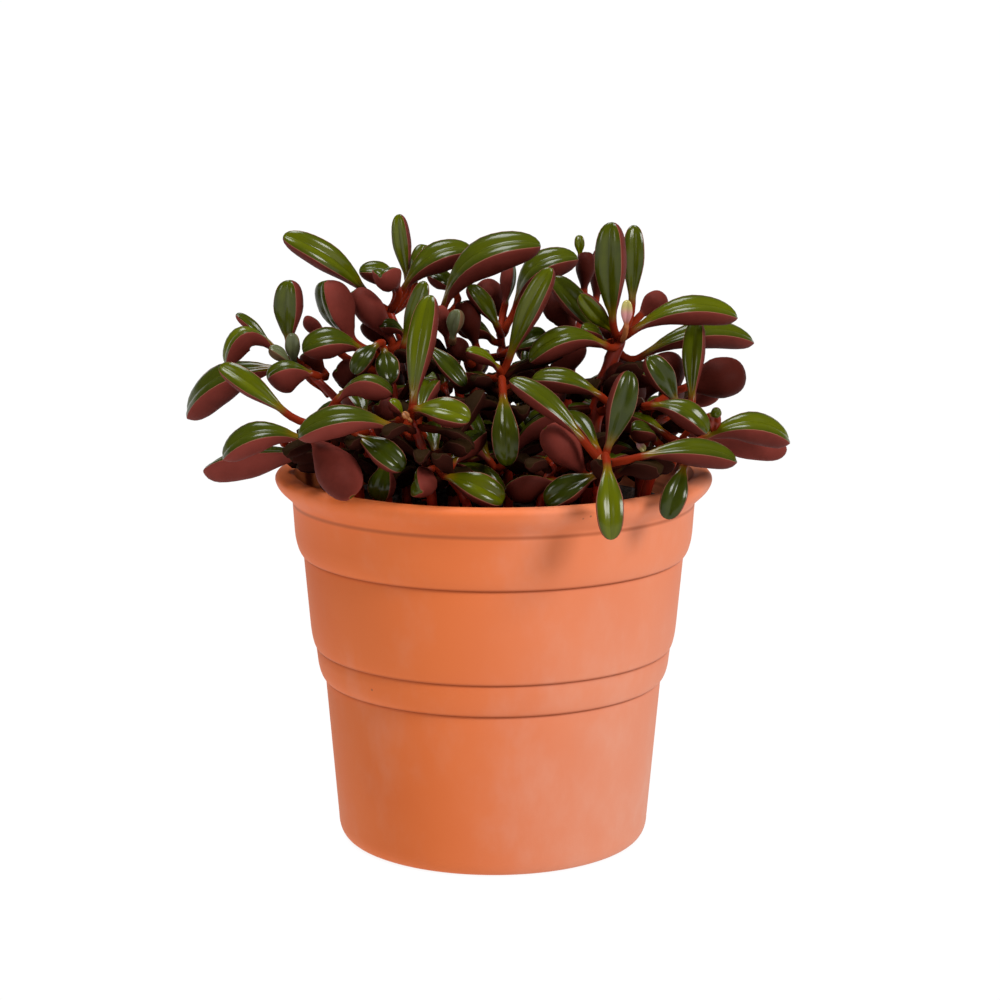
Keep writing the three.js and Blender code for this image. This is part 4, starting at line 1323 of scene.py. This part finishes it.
@dataclass(frozen=True)
class TerracottaFinish:
    """Smooth matte orange earthenware, softly mottled, with a pale patch low on the right side that is partly
    a chalky film and partly painted sheen, a few specks, faint turning lines and painted shade in its
    grooves."""

    clay: Triple = (0.680, 0.157, 0.042)
    warm: Triple = (0.640, 0.135, 0.031)
    # Pale colour of the chalky clouds and of the painted sheen low on the right side.
    chalk_and_sheen: Triple = (0.660, 0.315, 0.225)
    speck: Triple = (0.180, 0.070, 0.040)
    # Painted shade: the dark colour of the thin lines at the grooves.
    groove_shade: Triple = (0.330, 0.075, 0.026)
    broad: Pattern = Pattern(16.0, 3.0, 0.5)
    cloudy: Pattern = Pattern(55.0, 4.0, 0.6, (1.0, 1.0, 0.6))
    grain: Pattern = Pattern(1500.0, 2.0)
    lines: Pattern = Pattern(1.0, 2.0, stretch=(8.0, 8.0, 900.0))
    warm_starts: Limits = (0.35, 0.65)
    cloud_starts: Limits = (0.45, 0.8)
    cloud_strength: float = 0.2
    bloom_sheen_across: Limits = (-0.022, 0.042)
    bloom_sheen_height: Limits = (0.170, 0.010)
    bloom_sheen_least: float = 0.35
    bloom_sheen_clouds: float = 0.5
    grooves: tuple[float, ...] = (0.0457, 0.0548, 0.0810, 0.0957)
    groove_half: float = 0.0009
    groove_strength: float = 0.7
    speck_cells: float = 95.0
    speck_edge: Limits = (0.045, 0.02)
    speck_chance: Limits = (0.8, 0.82)
    speck_strength: float = 0.7
    spots: tuple[Triple, ...] = ((0.0232, -0.0557, 0.1008), (0.0251, -0.0549, 0.1014))
    spot_radius: float = 0.0004
    spot_core: float = 0.5
    spot_strength: float = 0.6
    roughness: float = 0.55
    cloud_roughness: float = 0.12
    grain_roughness: float = 0.1
    specular: float = 0.12
    grain_height: float = 0.5
    line_height: float = 0.6
    bump: Bump = Bump(0.12, 0.0003)

    def material(self) -> bpy.types.Material:
        """Makes the material."""
        bench, material = Bench.for_material("terracotta")
        place = bench.place()
        broad = bench.noise(place, self.broad)
        cloudy = bench.noise(place, self.cloudy)
        grain = bench.noise(place, self.grain)
        lines = bench.noise(place, self.lines)
        x = bench.part(place, "X")
        z = bench.part(place, "Z")
        # Painted sheen: a pale patch low on the right side, where the key light falls, which also carries a
        # chalky film.
        bloom_and_sheen = bench.step(x, *self.bloom_sheen_across) * bench.step(z, *self.bloom_sheen_height)
        colour = bench.mix(bench.step(broad, *self.warm_starts), self.clay, self.warm)
        clouds = bench.step(cloudy, *self.cloud_starts) * self.cloud_strength
        chalk_and_sheen = clouds + bloom_and_sheen * (self.bloom_sheen_least + cloudy * self.bloom_sheen_clouds)
        colour = bench.mix(chalk_and_sheen, colour, self.chalk_and_sheen)
        # Painted shade: a thin dark line at each groove, under the band above it.
        for groove in self.grooves:
            near = bench.step(abs(z - groove), self.groove_half, 0.0)
            colour = bench.mix(near * self.groove_strength, colour, self.groove_shade)
        colour = bench.mix(self.specks(bench, place) * self.speck_strength, colour, self.speck)
        for spot in self.spots:
            away = bench.node("VectorMath", {"operation": "DISTANCE"}, {0: place, 1: spot}, "Value")
            spotted = bench.step(away, self.spot_radius, self.spot_core * self.spot_radius)
            colour = bench.mix(spotted * self.spot_strength, colour, self.speck)
        roughness = self.roughness + bench.sway(cloudy, self.cloud_roughness)
        height = grain * self.grain_height + lines * self.line_height + cloudy
        bench.finish({
            "Base Color": colour,
            "Roughness": roughness + bench.sway(grain, self.grain_roughness),
            "Specular IOR Level": self.specular,
            "Normal": bench.bump(height, self.bump),
        })
        return material

    def specks(self, bench: Bench, place: Wire) -> Wire:
        """Finds the few specks: the middles of some cells, picked by chance."""
        inputs = {"Vector": place, "Scale": self.speck_cells}
        cells = bench.node("TexVoronoi", {}, inputs, "Distance")
        chance = bench.part(bench.node("TexVoronoi", {}, inputs, "Color"), "X")
        return bench.step(cells, *self.speck_edge) * bench.step(chance, *self.speck_chance)


@dataclass(frozen=True)
class SoilFinish:
    """Dark damp potting soil."""

    dark: Triple = (0.020, 0.010, 0.007)
    crumb: Triple = (0.060, 0.028, 0.016)
    coarse: Pattern = Pattern(330.0, 4.0, 0.65)
    fine: Pattern = Pattern(1900.0, 3.0, 0.7)
    coarse_share: float = 0.6
    fine_share: float = 0.4
    crumb_starts: Limits = (0.4, 0.72)
    roughness: float = 0.85
    fine_roughness: float = 0.2
    fine_height: float = 0.4
    bump: Bump = Bump(0.9, 0.0015)

    def material(self) -> bpy.types.Material:
        """Makes the material."""
        bench, material = Bench.for_material("soil")
        place = bench.place()
        coarse = bench.noise(place, self.coarse)
        fine = bench.noise(place, self.fine)
        both = coarse * self.coarse_share + fine * self.fine_share
        bench.finish({
            "Base Color": bench.mix(bench.step(both, *self.crumb_starts), self.dark, self.crumb),
            "Roughness": self.roughness + bench.sway(fine, self.fine_roughness),
            "Normal": bench.bump(coarse + fine * self.fine_height, self.bump),
        })
        return material


@dataclass(frozen=True)
class FloorFinish:
    """A plain floor, pale under the pot, that fades at the foot into the white surroundings."""

    pale: Triple = (0.96, 0.975, 0.975)
    white: Triple = (1.0, 1.0, 1.0)
    black: Triple = (0.0, 0.0, 0.0)
    fade: Limits = (0.034, 0.044)
    roughness: float = 0.9
    specular: float = 0.0
    glow: float = 1.02

    def material(self) -> bpy.types.Material:
        """Makes the material."""
        bench, material = Bench.for_material("floor")
        away = bench.node("VectorMath", {"operation": "LENGTH"}, {0: bench.place()}, "Value")
        far = bench.step(away, *self.fade)
        bench.finish({
            "Base Color": bench.mix(far, self.pale, self.black),
            "Roughness": self.roughness,
            "Specular IOR Level": self.specular,
            "Emission Color": bench.mix(far, self.black, self.white),
            "Emission Strength": self.glow,
        })
        return material


def add_piece(
    name: str, form: bmesh.types.BMesh, materials: Sequence[bpy.types.Material]
) -> bpy.types.Object:
    """Makes an object of a finished shape, at the origin, unturned and unscaled.

    Args:
        name: The object's name.
        form: Its shape in millimetres, which is freed.
        materials: Its finishes.

    Returns:
        The object.
    """
    bmesh.ops.recalc_face_normals(form, faces=form.faces)
    bmesh.ops.scale(form, vec=(MM, MM, MM), verts=form.verts)
    for face in form.faces:
        face.smooth = True
    mesh = bpy.data.meshes.new(name)
    form.to_mesh(mesh)
    form.free()
    for material in materials:
        mesh.materials.append(material)
    piece = bpy.data.objects.new(name, mesh)
    bpy.context.scene.collection.objects.link(piece)
    LOG.info("%s: %d vertices, %d faces", name, len(mesh.vertices), len(mesh.polygons))
    return piece


def stand_for(piece: bpy.types.Object, node: str) -> None:
    """Lets a piece ride where a node of the frame is, and stand for it."""
    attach(piece, "root")
    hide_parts(node)


def add_ball(
    form: bmesh.types.BMesh, columns: int, rings: int
) -> tuple[list[bmesh.types.BMVert], np.ndarray, np.ndarray]:
    """Adds a ball to a shape, to be drawn out.

    Args:
        form: The shape.
        columns: How many faces the ball has round it.
        rings: How many it has from pole to pole.

    Returns:
        Its vertices, how far up from the lower pole each is as a share, and how far round in radians.
    """
    made = bmesh.ops.create_uvsphere(form, u_segments=columns, v_segments=rings, radius=1.0)
    ball = np.array([vert.co for vert in made["verts"]], float)
    share = np.arccos(np.clip(-ball[:, 2], -1, 1)) / np.pi
    return made["verts"], share, np.arctan2(ball[:, 0], ball[:, 1])


@dataclass(frozen=True)
class LeafForm:
    """How a leaf's mesh is drawn out of a ball, as shares of its width and of its length.

    The half section starts in the groove down the middle of the upper face, runs over the lobe and the
    raised margin, and ends at the keel.
    """

    half_section: tuple[Limits, ...] = (
        (0.000, 0.215),
        (0.050, 0.228),
        (0.130, 0.272),
        (0.230, 0.305),
        (0.330, 0.308),
        (0.410, 0.284),
        (0.455, 0.264),
        (0.482, 0.262),
        (0.499, 0.228),
        (0.500, 0.130),
        (0.482, -0.060),
        (0.435, -0.250),
        (0.345, -0.420),
        (0.190, -0.550),
        (0.000, -0.605),
    )
    petiole_rings: tuple[float, ...] = (0.0, 0.1, 0.3, 0.55, 0.8)
    blade_rings: int = 18
    coarse_half_section: tuple[Limits, ...] = (
        (0.0, 0.23), (0.33, 0.31), (0.5, 0.2), (0.43, -0.26), (0.0, -0.6),
    )
    coarse_petiole_rings: tuple[float, ...] = (0.0, 0.4)
    coarse_blade_rings: int = 6
    blade_begins: float = 0.2
    flare: float = 1.35
    flare_end: float = 0.25

    def add_to(self, form: bmesh.types.BMesh, blade: Blade) -> None:
        """Adds a leaf with its petiole to a shape.

        Args:
            form: The shape that the leaf is added to.
            blade: The leaf.
        """
        section = np.array(self.half_section if blade.fine else self.coarse_half_section)
        half = len(section) - 1
        count = self.blade_rings if blade.fine else self.coarse_blade_rings
        shares = 0.5 - 0.5 * np.cos(np.pi * np.arange(count + 1) / count)
        line = blade.midline(shares)
        widths = blade.width * RULE.fullness(shares)
        stalk = np.array(self.petiole_rings if blade.fine else self.coarse_petiole_rings)
        stalk_normals = self.carried_back(blade, stalk, line.normals[0])
        headings = blade.petiole().heading(stalk)
        points = np.concatenate([blade.petiole().at(stalk), line.points])
        normals = np.concatenate([stalk_normals, line.normals])
        across = np.concatenate([cross(headings, stalk_normals), line.across])
        bladeness = np.concatenate([np.zeros(len(stalk)), smooth_step(shares, 0.0, self.blade_begins)])
        flare = 1 + (self.flare - 1) * smooth_step(-stalk, -self.flare_end, 0.0)
        radii = blade.petiole_radius() * np.concatenate([flare, np.ones(len(shares))])
        radii[0] = 0.0
        radii[-1] = 0.0
        widths = np.concatenate([np.zeros(len(stalk)), widths])
        along = np.concatenate([stalk - 1.0, shares])
        last = len(points) - 1
        verts, share, turn = add_ball(form, 2 * half, last)
        ring = np.rint(share * last).astype(int)
        column = np.rint(turn / np.pi * half).astype(int) % (2 * half)
        inward = np.minimum(column, 2 * half - column)
        side = np.where(column <= half, 1.0, -1.0)
        angle = column * np.pi / half
        out = section[inward, 0] * side
        mix = bladeness[ring]
        x = (1 - mix) * radii[ring] * np.sin(angle) + mix * widths[ring] * out
        y = (1 - mix) * radii[ring] * np.cos(angle) + mix * widths[ring] * section[inward, 1]
        placed = points[ring] + across[ring] * x[:, None] + normals[ring] * y[:, None]
        place_layer = form.verts.layers.float_vector[PLACE_LAYER]
        tone_layer = form.verts.layers.float_vector[TONE_LAYER]
        girth = inward / half
        for vert, where, turned, around, far in zip(verts, placed, out, girth, along[ring]):
            vert.co = where
            vert[place_layer] = (2 * turned, around, far)
            vert[tone_layer] = blade.tone

    @staticmethod
    def carried_back(blade: Blade, shares: np.ndarray, normal: np.ndarray) -> np.ndarray:
        """Carries the upper face's direction back along the petiole without a twist.

        Args:
            blade: The leaf.
            shares: Shares of the petiole's length, from the stem on.
            normal: The direction at the leaf's base.

        Returns:
            The direction at each share.
        """
        carried = []
        for heading in blade.petiole().heading(shares)[::-1]:
            normal = unit(normal - heading * (normal @ heading))
            carried.append(normal)
        return np.array(carried[::-1])


@dataclass(frozen=True)
class StemForm:
    """How a stem's mesh is drawn out of a ball: it swells a little where leaves join."""

    sides: int = 16
    rings: int = 44
    swelling: float = 0.22
    swelling_length: float = 0.028
    blunt_end: float = 0.03
    joint_steps: int = 101

    def add_to(self, form: bmesh.types.BMesh, stem: Stem) -> None:
        """Adds a stem to a shape.

        Args:
            form: The shape that the stem is added to.
            stem: The stem.
        """
        verts, share, turn = add_ball(form, self.sides, self.rings)
        rise = np.linalg.norm(stem.tip - stem.curve.start)
        buried = STEM.buried / (STEM.buried + rise)
        above = np.clip((share - buried) / (1 - buried), 0.0, 1.0)
        below = np.clip(share / buried, 0.0, 1.0)
        points = stem.curve.at(above)
        points[:, 2] -= (1 - below) * STEM.buried
        headings = stem.curve.heading(above)
        level = np.array([0.0, 1.0, 0.0])
        first = unit(level - headings * (headings @ level)[:, None])
        second = cross(first, headings)
        swell = np.zeros(len(share))
        for blade in stem.blades:
            off = above - self.share_of(stem, blade)
            swell = np.maximum(swell, np.exp(-((off / self.swelling_length) ** 2)))
        radius = stem.radius * (1 + (STEM.tip_taper - 1) * above) * (1 + self.swelling * swell)
        ends = np.sqrt(np.clip(np.minimum(share, 1 - share) / self.blunt_end, 0.0, 1.0))
        x = radius * ends * np.sin(turn)
        y = radius * ends * np.cos(turn)
        placed = points + first * x[:, None] + second * y[:, None]
        for vert, where in zip(verts, placed):
            vert.co = where

    def share_of(self, stem: Stem, blade: Blade) -> float:
        """How far up its stem a leaf joins."""
        shares = np.linspace(0.0, 1.0, self.joint_steps)
        return float(shares[np.linalg.norm(stem.curve.at(shares) - blade.joint, axis=1).argmin()])


@dataclass(frozen=True)
class Foliage:
    """All the leafy stems, one piece each."""

    stems: tuple[Stem, ...]
    leaf_form: LeafForm = LeafForm()
    stem_form: StemForm = StemForm()
    leaf_finish: LeafFinish = LeafFinish()
    stem_finish: StemFinish = StemFinish()

    def build(self) -> None:
        """Builds and dresses every stem with its leaves."""
        materials = [self.leaf_finish.material(), self.stem_finish.material()]
        for stem in self.stems:
            form = bmesh.new()
            form.verts.layers.float_vector.new(PLACE_LAYER)
            form.verts.layers.float_vector.new(TONE_LAYER)
            small = [stem.planned(row) for row in SMALL_GROWTH.get(stem.name, ())]
            for blade in [*stem.blades, *small]:
                self.leaf_form.add_to(form, blade)
            leaf_faces = len(form.faces)
            self.stem_form.add_to(form, stem)
            form.faces.ensure_lookup_table()
            for face in form.faces[leaf_faces:]:
                face.material_index = 1
            piece = add_piece(f"grown_{stem.name}", form, materials)
            stand_for(piece, f"leafy_stem_{stem.name}")


@dataclass(frozen=True)
class Band:
    """A band of the pot's wall: where it starts, how far it stands out and how tall its rounding is."""

    start: float
    proud: float
    rounding: float


@dataclass(frozen=True)
class Pot:
    """The pot: a cone with bands, a collar and a rolled rim, hollow, with drain holes in its floor."""

    segments: int = 160
    foot_radius: float = 40.9
    foot_round: float = 5.0
    wall_at_foot: float = 43.3
    taper: float = 0.083
    floor: float = 6.0
    bands: tuple[Band, ...] = (Band(45.7, 1.8, 5.7), Band(54.8, 2.9, 6.5), Band(81.0, 4.8, 6.5))
    rim: tuple[Limits, ...] = (
        (55.9, 95.7), (56.6, 97.0), (59.5, 99.8), (60.6, 102.1), (59.8, 103.5), (57.8, 104.0), (55.4, 103.7),
    )
    rim_steps: int = 4
    inner_wall: tuple[Limits, ...] = (
        (54.3, 101.4), (51.7, 92.6), (49.2, 78.0), (47.0, 62.0), (43.0, 40.0), (39.8, 10.0), (36.6, 6.0),
    )
    drains: int = 3
    drain_radius: float = 3.5
    drain_from_axis: float = 20.0
    drain_segments: int = 32
    drill_length: float = 24.0
    rounding_steps: int = 9
    groove_height: float = 1.1
    groove_depth: float = 0.5
    crisp_angle: float = 50.0
    finish: TerracottaFinish = TerracottaFinish()

    def wall(self, height: float) -> float:
        """The radius of the plain wall at a height."""
        return self.wall_at_foot + self.taper * height

    def outer_wall(self) -> list[Limits]:
        """The outer wall from the foot up to the groove under the rim.

        Returns:
            Its points, radius and height.
        """
        points = []
        for step in range(self.rounding_steps + 1):
            turn = 0.5 * math.pi * step / self.rounding_steps
            reach = self.wall(self.foot_round) - self.foot_radius
            height = self.foot_round * (1 - math.cos(turn))
            points.append((self.foot_radius + reach * math.sin(turn), height))
        proud = 0.0
        for band in self.bands:
            points.append((self.wall(band.start) + proud, band.start - self.groove_height))
            points.append((self.wall(band.start) + proud - self.groove_depth, band.start))
            for step in range(1, self.rounding_steps + 1):
                turn = 0.5 * math.pi * step / self.rounding_steps
                height = band.start + band.rounding * (1 - math.cos(turn))
                swell = (band.proud - proud) * math.sin(turn)
                points.append((self.wall(height) + proud + swell, height))
            proud = band.proud
        return points

    def rolled_rim(self) -> list[Limits]:
        """The rim's roll as a smooth curve through its points.

        Returns:
            The curve's points, radius and height.
        """
        given = np.array(self.rim)
        padded = np.vstack([given[0], given, given[-1]])
        smooth = []
        for number in range(len(given) - 1):
            before, start, end, after = padded[number : number + 4]
            for step in range(self.rim_steps):
                t = step / self.rim_steps
                even = 2 * start + (end - before) * t
                bent = (2 * before - 5 * start + 4 * end - after) * t**2
                smooth.append(0.5 * (even + bent + (3 * start - before - 3 * end + after) * t**3))
        smooth.append(given[-1])
        return [(float(radius), float(height)) for radius, height in smooth]

    def build(self) -> None:
        """Turns the pot's profile about its axis, drills its floor and dresses it."""
        profile = [(0.0, 0.0), *self.outer_wall(), *self.rolled_rim(), *self.inner_wall, (0.0, self.floor)]
        form = turned(profile, self.segments)
        piece = add_piece("terracotta_pot", form, [self.finish.material()])
        self.drill(piece)
        stand_for(piece, "pot")

    def drill(self, piece: bpy.types.Object) -> None:
        """Drills the drain holes through the floor."""
        form = bmesh.new()
        for number in range(self.drains):
            turn = 2 * math.pi * number / self.drains
            middle = Vector((math.cos(turn), math.sin(turn), 0.0)) * self.drain_from_axis * MM
            bmesh.ops.create_cone(
                form,
                cap_ends=True,
                segments=self.drain_segments,
                radius1=self.drain_radius * MM,
                radius2=self.drain_radius * MM,
                depth=self.drill_length * MM,
                matrix=Matrix.Translation(middle),
            )
        mesh = bpy.data.meshes.new("drill")
        form.to_mesh(mesh)
        form.free()
        tool = bpy.data.objects.new("drill", mesh)
        bpy.context.scene.collection.objects.link(tool)
        cut = piece.modifiers.new("drains", "BOOLEAN")
        cut.operation = "DIFFERENCE"
        cut.object = tool
        cut.solver = "EXACT"
        seen = piece.evaluated_get(bpy.context.evaluated_depsgraph_get())
        drilled = bpy.data.meshes.new_from_object(seen)
        piece.modifiers.clear()
        piece.data = drilled
        bpy.data.objects.remove(tool)
        drilled.set_sharp_from_angle(angle=math.radians(self.crisp_angle))


def turned(profile: Sequence[Limits], segments: int) -> bmesh.types.BMesh:
    """Turns a profile about Z.

    Args:
        profile: Radius and height of each point, from the axis back to the axis.
        segments: How many steps a full turn has.

    Returns:
        The closed shape.
    """
    form = bmesh.new()
    verts = [form.verts.new((radius, 0.0, height)) for radius, height in profile]
    edges = [form.edges.new(pair) for pair in zip(verts, verts[1:])]
    bmesh.ops.spin(
        form,
        geom=[*verts, *edges],
        cent=(0.0, 0.0, 0.0),
        axis=(0.0, 0.0, 1.0),
        angle=2 * math.pi,
        steps=segments,
        use_merge=True,
    )
    bmesh.ops.remove_doubles(form, verts=form.verts, dist=MM)
    return form


@dataclass(frozen=True)
class Lump:
    """One wave of the soil's surface."""

    height: float
    across: float
    away: float
    shift: float


@dataclass(frozen=True)
class Soil:
    """The potting soil: it fills the pot to a little below the rim, and its surface is lumpy."""

    clear: float = 0.35
    top: float = 93.4
    radius: float = 51.3
    side: tuple[Limits, ...] = ((36.2, 6.35), (39.4, 10.0), (42.6, 40.0), (46.6, 62.0), (48.8, 78.0))
    lumps: tuple[Lump, ...] = (Lump(1.1, 0.31, 0.27, 1.1), Lump(0.5, 0.11, 0.41, 0.4))
    rings: int = 44
    segments: int = 150
    level_edge: float = 3.0
    roughening: float = 0.8
    wave_scale: float = 0.45
    wave_decay: float = 0.6
    wave_step: float = 2.2
    waves: int = 4
    crumbs: int = 260
    crumb_seed: int = 97
    crumb_turn: Limits = (0, FULL_TURN)
    crumb_spread: Limits = (0, 1)
    crumb_size: Limits = (0.5, 1.6)
    crumb_stretch: tuple[Limits, ...] = ((0.7, 1.3), (0.6, 1.0), (0.5, 0.9))
    crumb_tilt: Limits = (-0.5, 0.5)
    crumb_rise: float = 0.2
    finish: SoilFinish = SoilFinish()

    def lift(self, x: float, y: float) -> float:
        """How far the lumps lift the surface at a place."""
        broad = sum(
            lump.height * math.sin(lump.across * x + lump.shift) * math.cos(lump.away * y)
            for lump in self.lumps
        )
        place = Vector((x, y, 0.0)) * self.wave_scale
        return broad + self.roughening * noise.fractal(place, self.wave_decay, self.wave_step, self.waves)

    def build(self) -> None:
        """Builds and dresses the soil and its crumbs."""
        level = self.top - self.clear
        surface = [(self.radius * (1 - ring / self.rings), level) for ring in range(self.rings)]
        profile = [(0.0, self.side[0][1]), *self.side, *surface, (0.0, level)]
        form = turned(profile, self.segments)
        for vert in form.verts:
            if vert.co.z > self.side[-1][1] + self.clear:
                inward = min(1.0, (self.radius - math.hypot(vert.co.x, vert.co.y)) / self.level_edge)
                vert.co.z += self.lift(vert.co.x, vert.co.y) * max(0.0, inward)
        draw = Draw(self.crumb_seed)
        for _ in range(self.crumbs):
            self.add_crumb(form, draw)
        piece = add_piece("soil_with_crumbs", form, [self.finish.material()])
        stand_for(piece, "potting_soil")

    def add_crumb(self, form: bmesh.types.BMesh, draw: Draw) -> None:
        """Adds one crumb that lies on the surface."""
        turn = math.radians(draw(self.crumb_turn))
        reach = (self.radius - self.level_edge) * math.sqrt(draw(self.crumb_spread))
        x, y = reach * math.cos(turn), reach * math.sin(turn)
        size = draw(self.crumb_size)
        verts = bmesh.ops.create_icosphere(form, subdivisions=1, radius=size)["verts"]
        bmesh.ops.scale(form, vec=[draw(limits) for limits in self.crumb_stretch], verts=verts)
        spin = Matrix.Rotation(math.radians(draw(self.crumb_turn)), 3, "Z")
        tilt = Matrix.Rotation(draw(self.crumb_tilt), 3, "X")
        bmesh.ops.rotate(form, cent=(0, 0, 0), matrix=spin @ tilt, verts=verts)
        height = self.top - self.clear + self.lift(x, y) + self.crumb_rise * size
        bmesh.ops.translate(form, vec=(x, y, height), verts=verts)


@dataclass(frozen=True)
class SoftBox:
    """A square light: its place, what it points at, its side in metres, its radiance and its colour."""

    name: str
    place: Triple
    side: float
    radiance: float
    colour: Triple = (1.0, 1.0, 1.0)
    aim: Triple = (0.0, 0.0, 0.11)

    def add(self) -> None:
        """Adds the light."""
        data = bpy.data.lights.new(self.name, "AREA")
        data.shape = "SQUARE"
        data.size = self.side
        data.energy = self.radiance * math.pi * self.side**2
        data.color = self.colour
        light = bpy.data.objects.new(self.name, data)
        light.location = self.place
        way = Vector(self.aim) - Vector(self.place)
        light.rotation_euler = way.to_track_quat("-Z", "Y").to_euler()
        bpy.context.scene.collection.objects.link(light)


@dataclass(frozen=True)
class Surroundings:
    """White below the horizon and a little above it, more so in front and behind, and a darker room above."""

    white: Triple = (1.0, 1.0, 1.0)
    strength: float = 1.02
    room: float = 0.10
    level: Limits = (0.02, 0.14)
    back: float = 0.14

    def build(self) -> None:
        """Makes the world."""
        world = bpy.data.worlds.new("surroundings")
        world.use_nodes = True
        bench = Bench(world.node_tree, world.node_tree.nodes["World Output"])
        way = bench.node("TexCoord", {}, {}, "Generated")
        away, up = bench.part(way, "Y"), bench.part(way, "Z")
        white = (*self.white, 1.0)
        below = bench.node("Background", {}, {"Color": white, "Strength": self.strength})
        above = bench.node("Background", {}, {"Color": white, "Strength": self.room})
        share = bench.step(up - abs(away) * self.back, *self.level)
        bench.show(bench.node("MixShader", {}, {0: share, 1: below, 2: above}))
        bpy.context.scene.world = world


@dataclass(frozen=True)
class Studio:
    """Plain soft light, a pale floor and the camera."""

    lights: tuple[SoftBox, ...] = (
        SoftBox("key", (1.00, -0.90, 1.00), 0.55, 20.0, (1.0, 0.98, 0.96)),
        SoftBox("side", (-0.95, -0.65, 0.55), 0.40, 5.0, (1.0, 0.97, 0.94)),
        SoftBox("top", (-0.15, 0.10, 1.15), 0.50, 12.0, (0.97, 0.99, 1.0)),
    )
    surroundings: Surroundings = Surroundings()
    floor_half: float = 0.6
    floor_finish: FloorFinish = FloorFinish()

    def build(self) -> None:
        """Adds the floor, the lights, the surroundings and the camera."""
        form = bmesh.new()
        bmesh.ops.create_grid(form, x_segments=2, y_segments=2, size=self.floor_half / MM)
        floor = add_piece("floor", form, [self.floor_finish.material()])
        for light in self.lights:
            light.add()
        self.surroundings.build()
        bpy.context.scene.view_settings.view_transform = "Standard"
        VIEW.add_camera()


def main() -> None:
    """Builds the studio, the pot, the soil and the plant."""
    logging.basicConfig(level=logging.INFO, format="%(name)s: %(message)s")
    Studio().build()
    Pot().build()
    Soil().build()
    Foliage(tuple(Plant().grow())).build()
    LOG.info("nodes of the frame: %d", len(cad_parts))


if __name__ == "__main__":
    main()
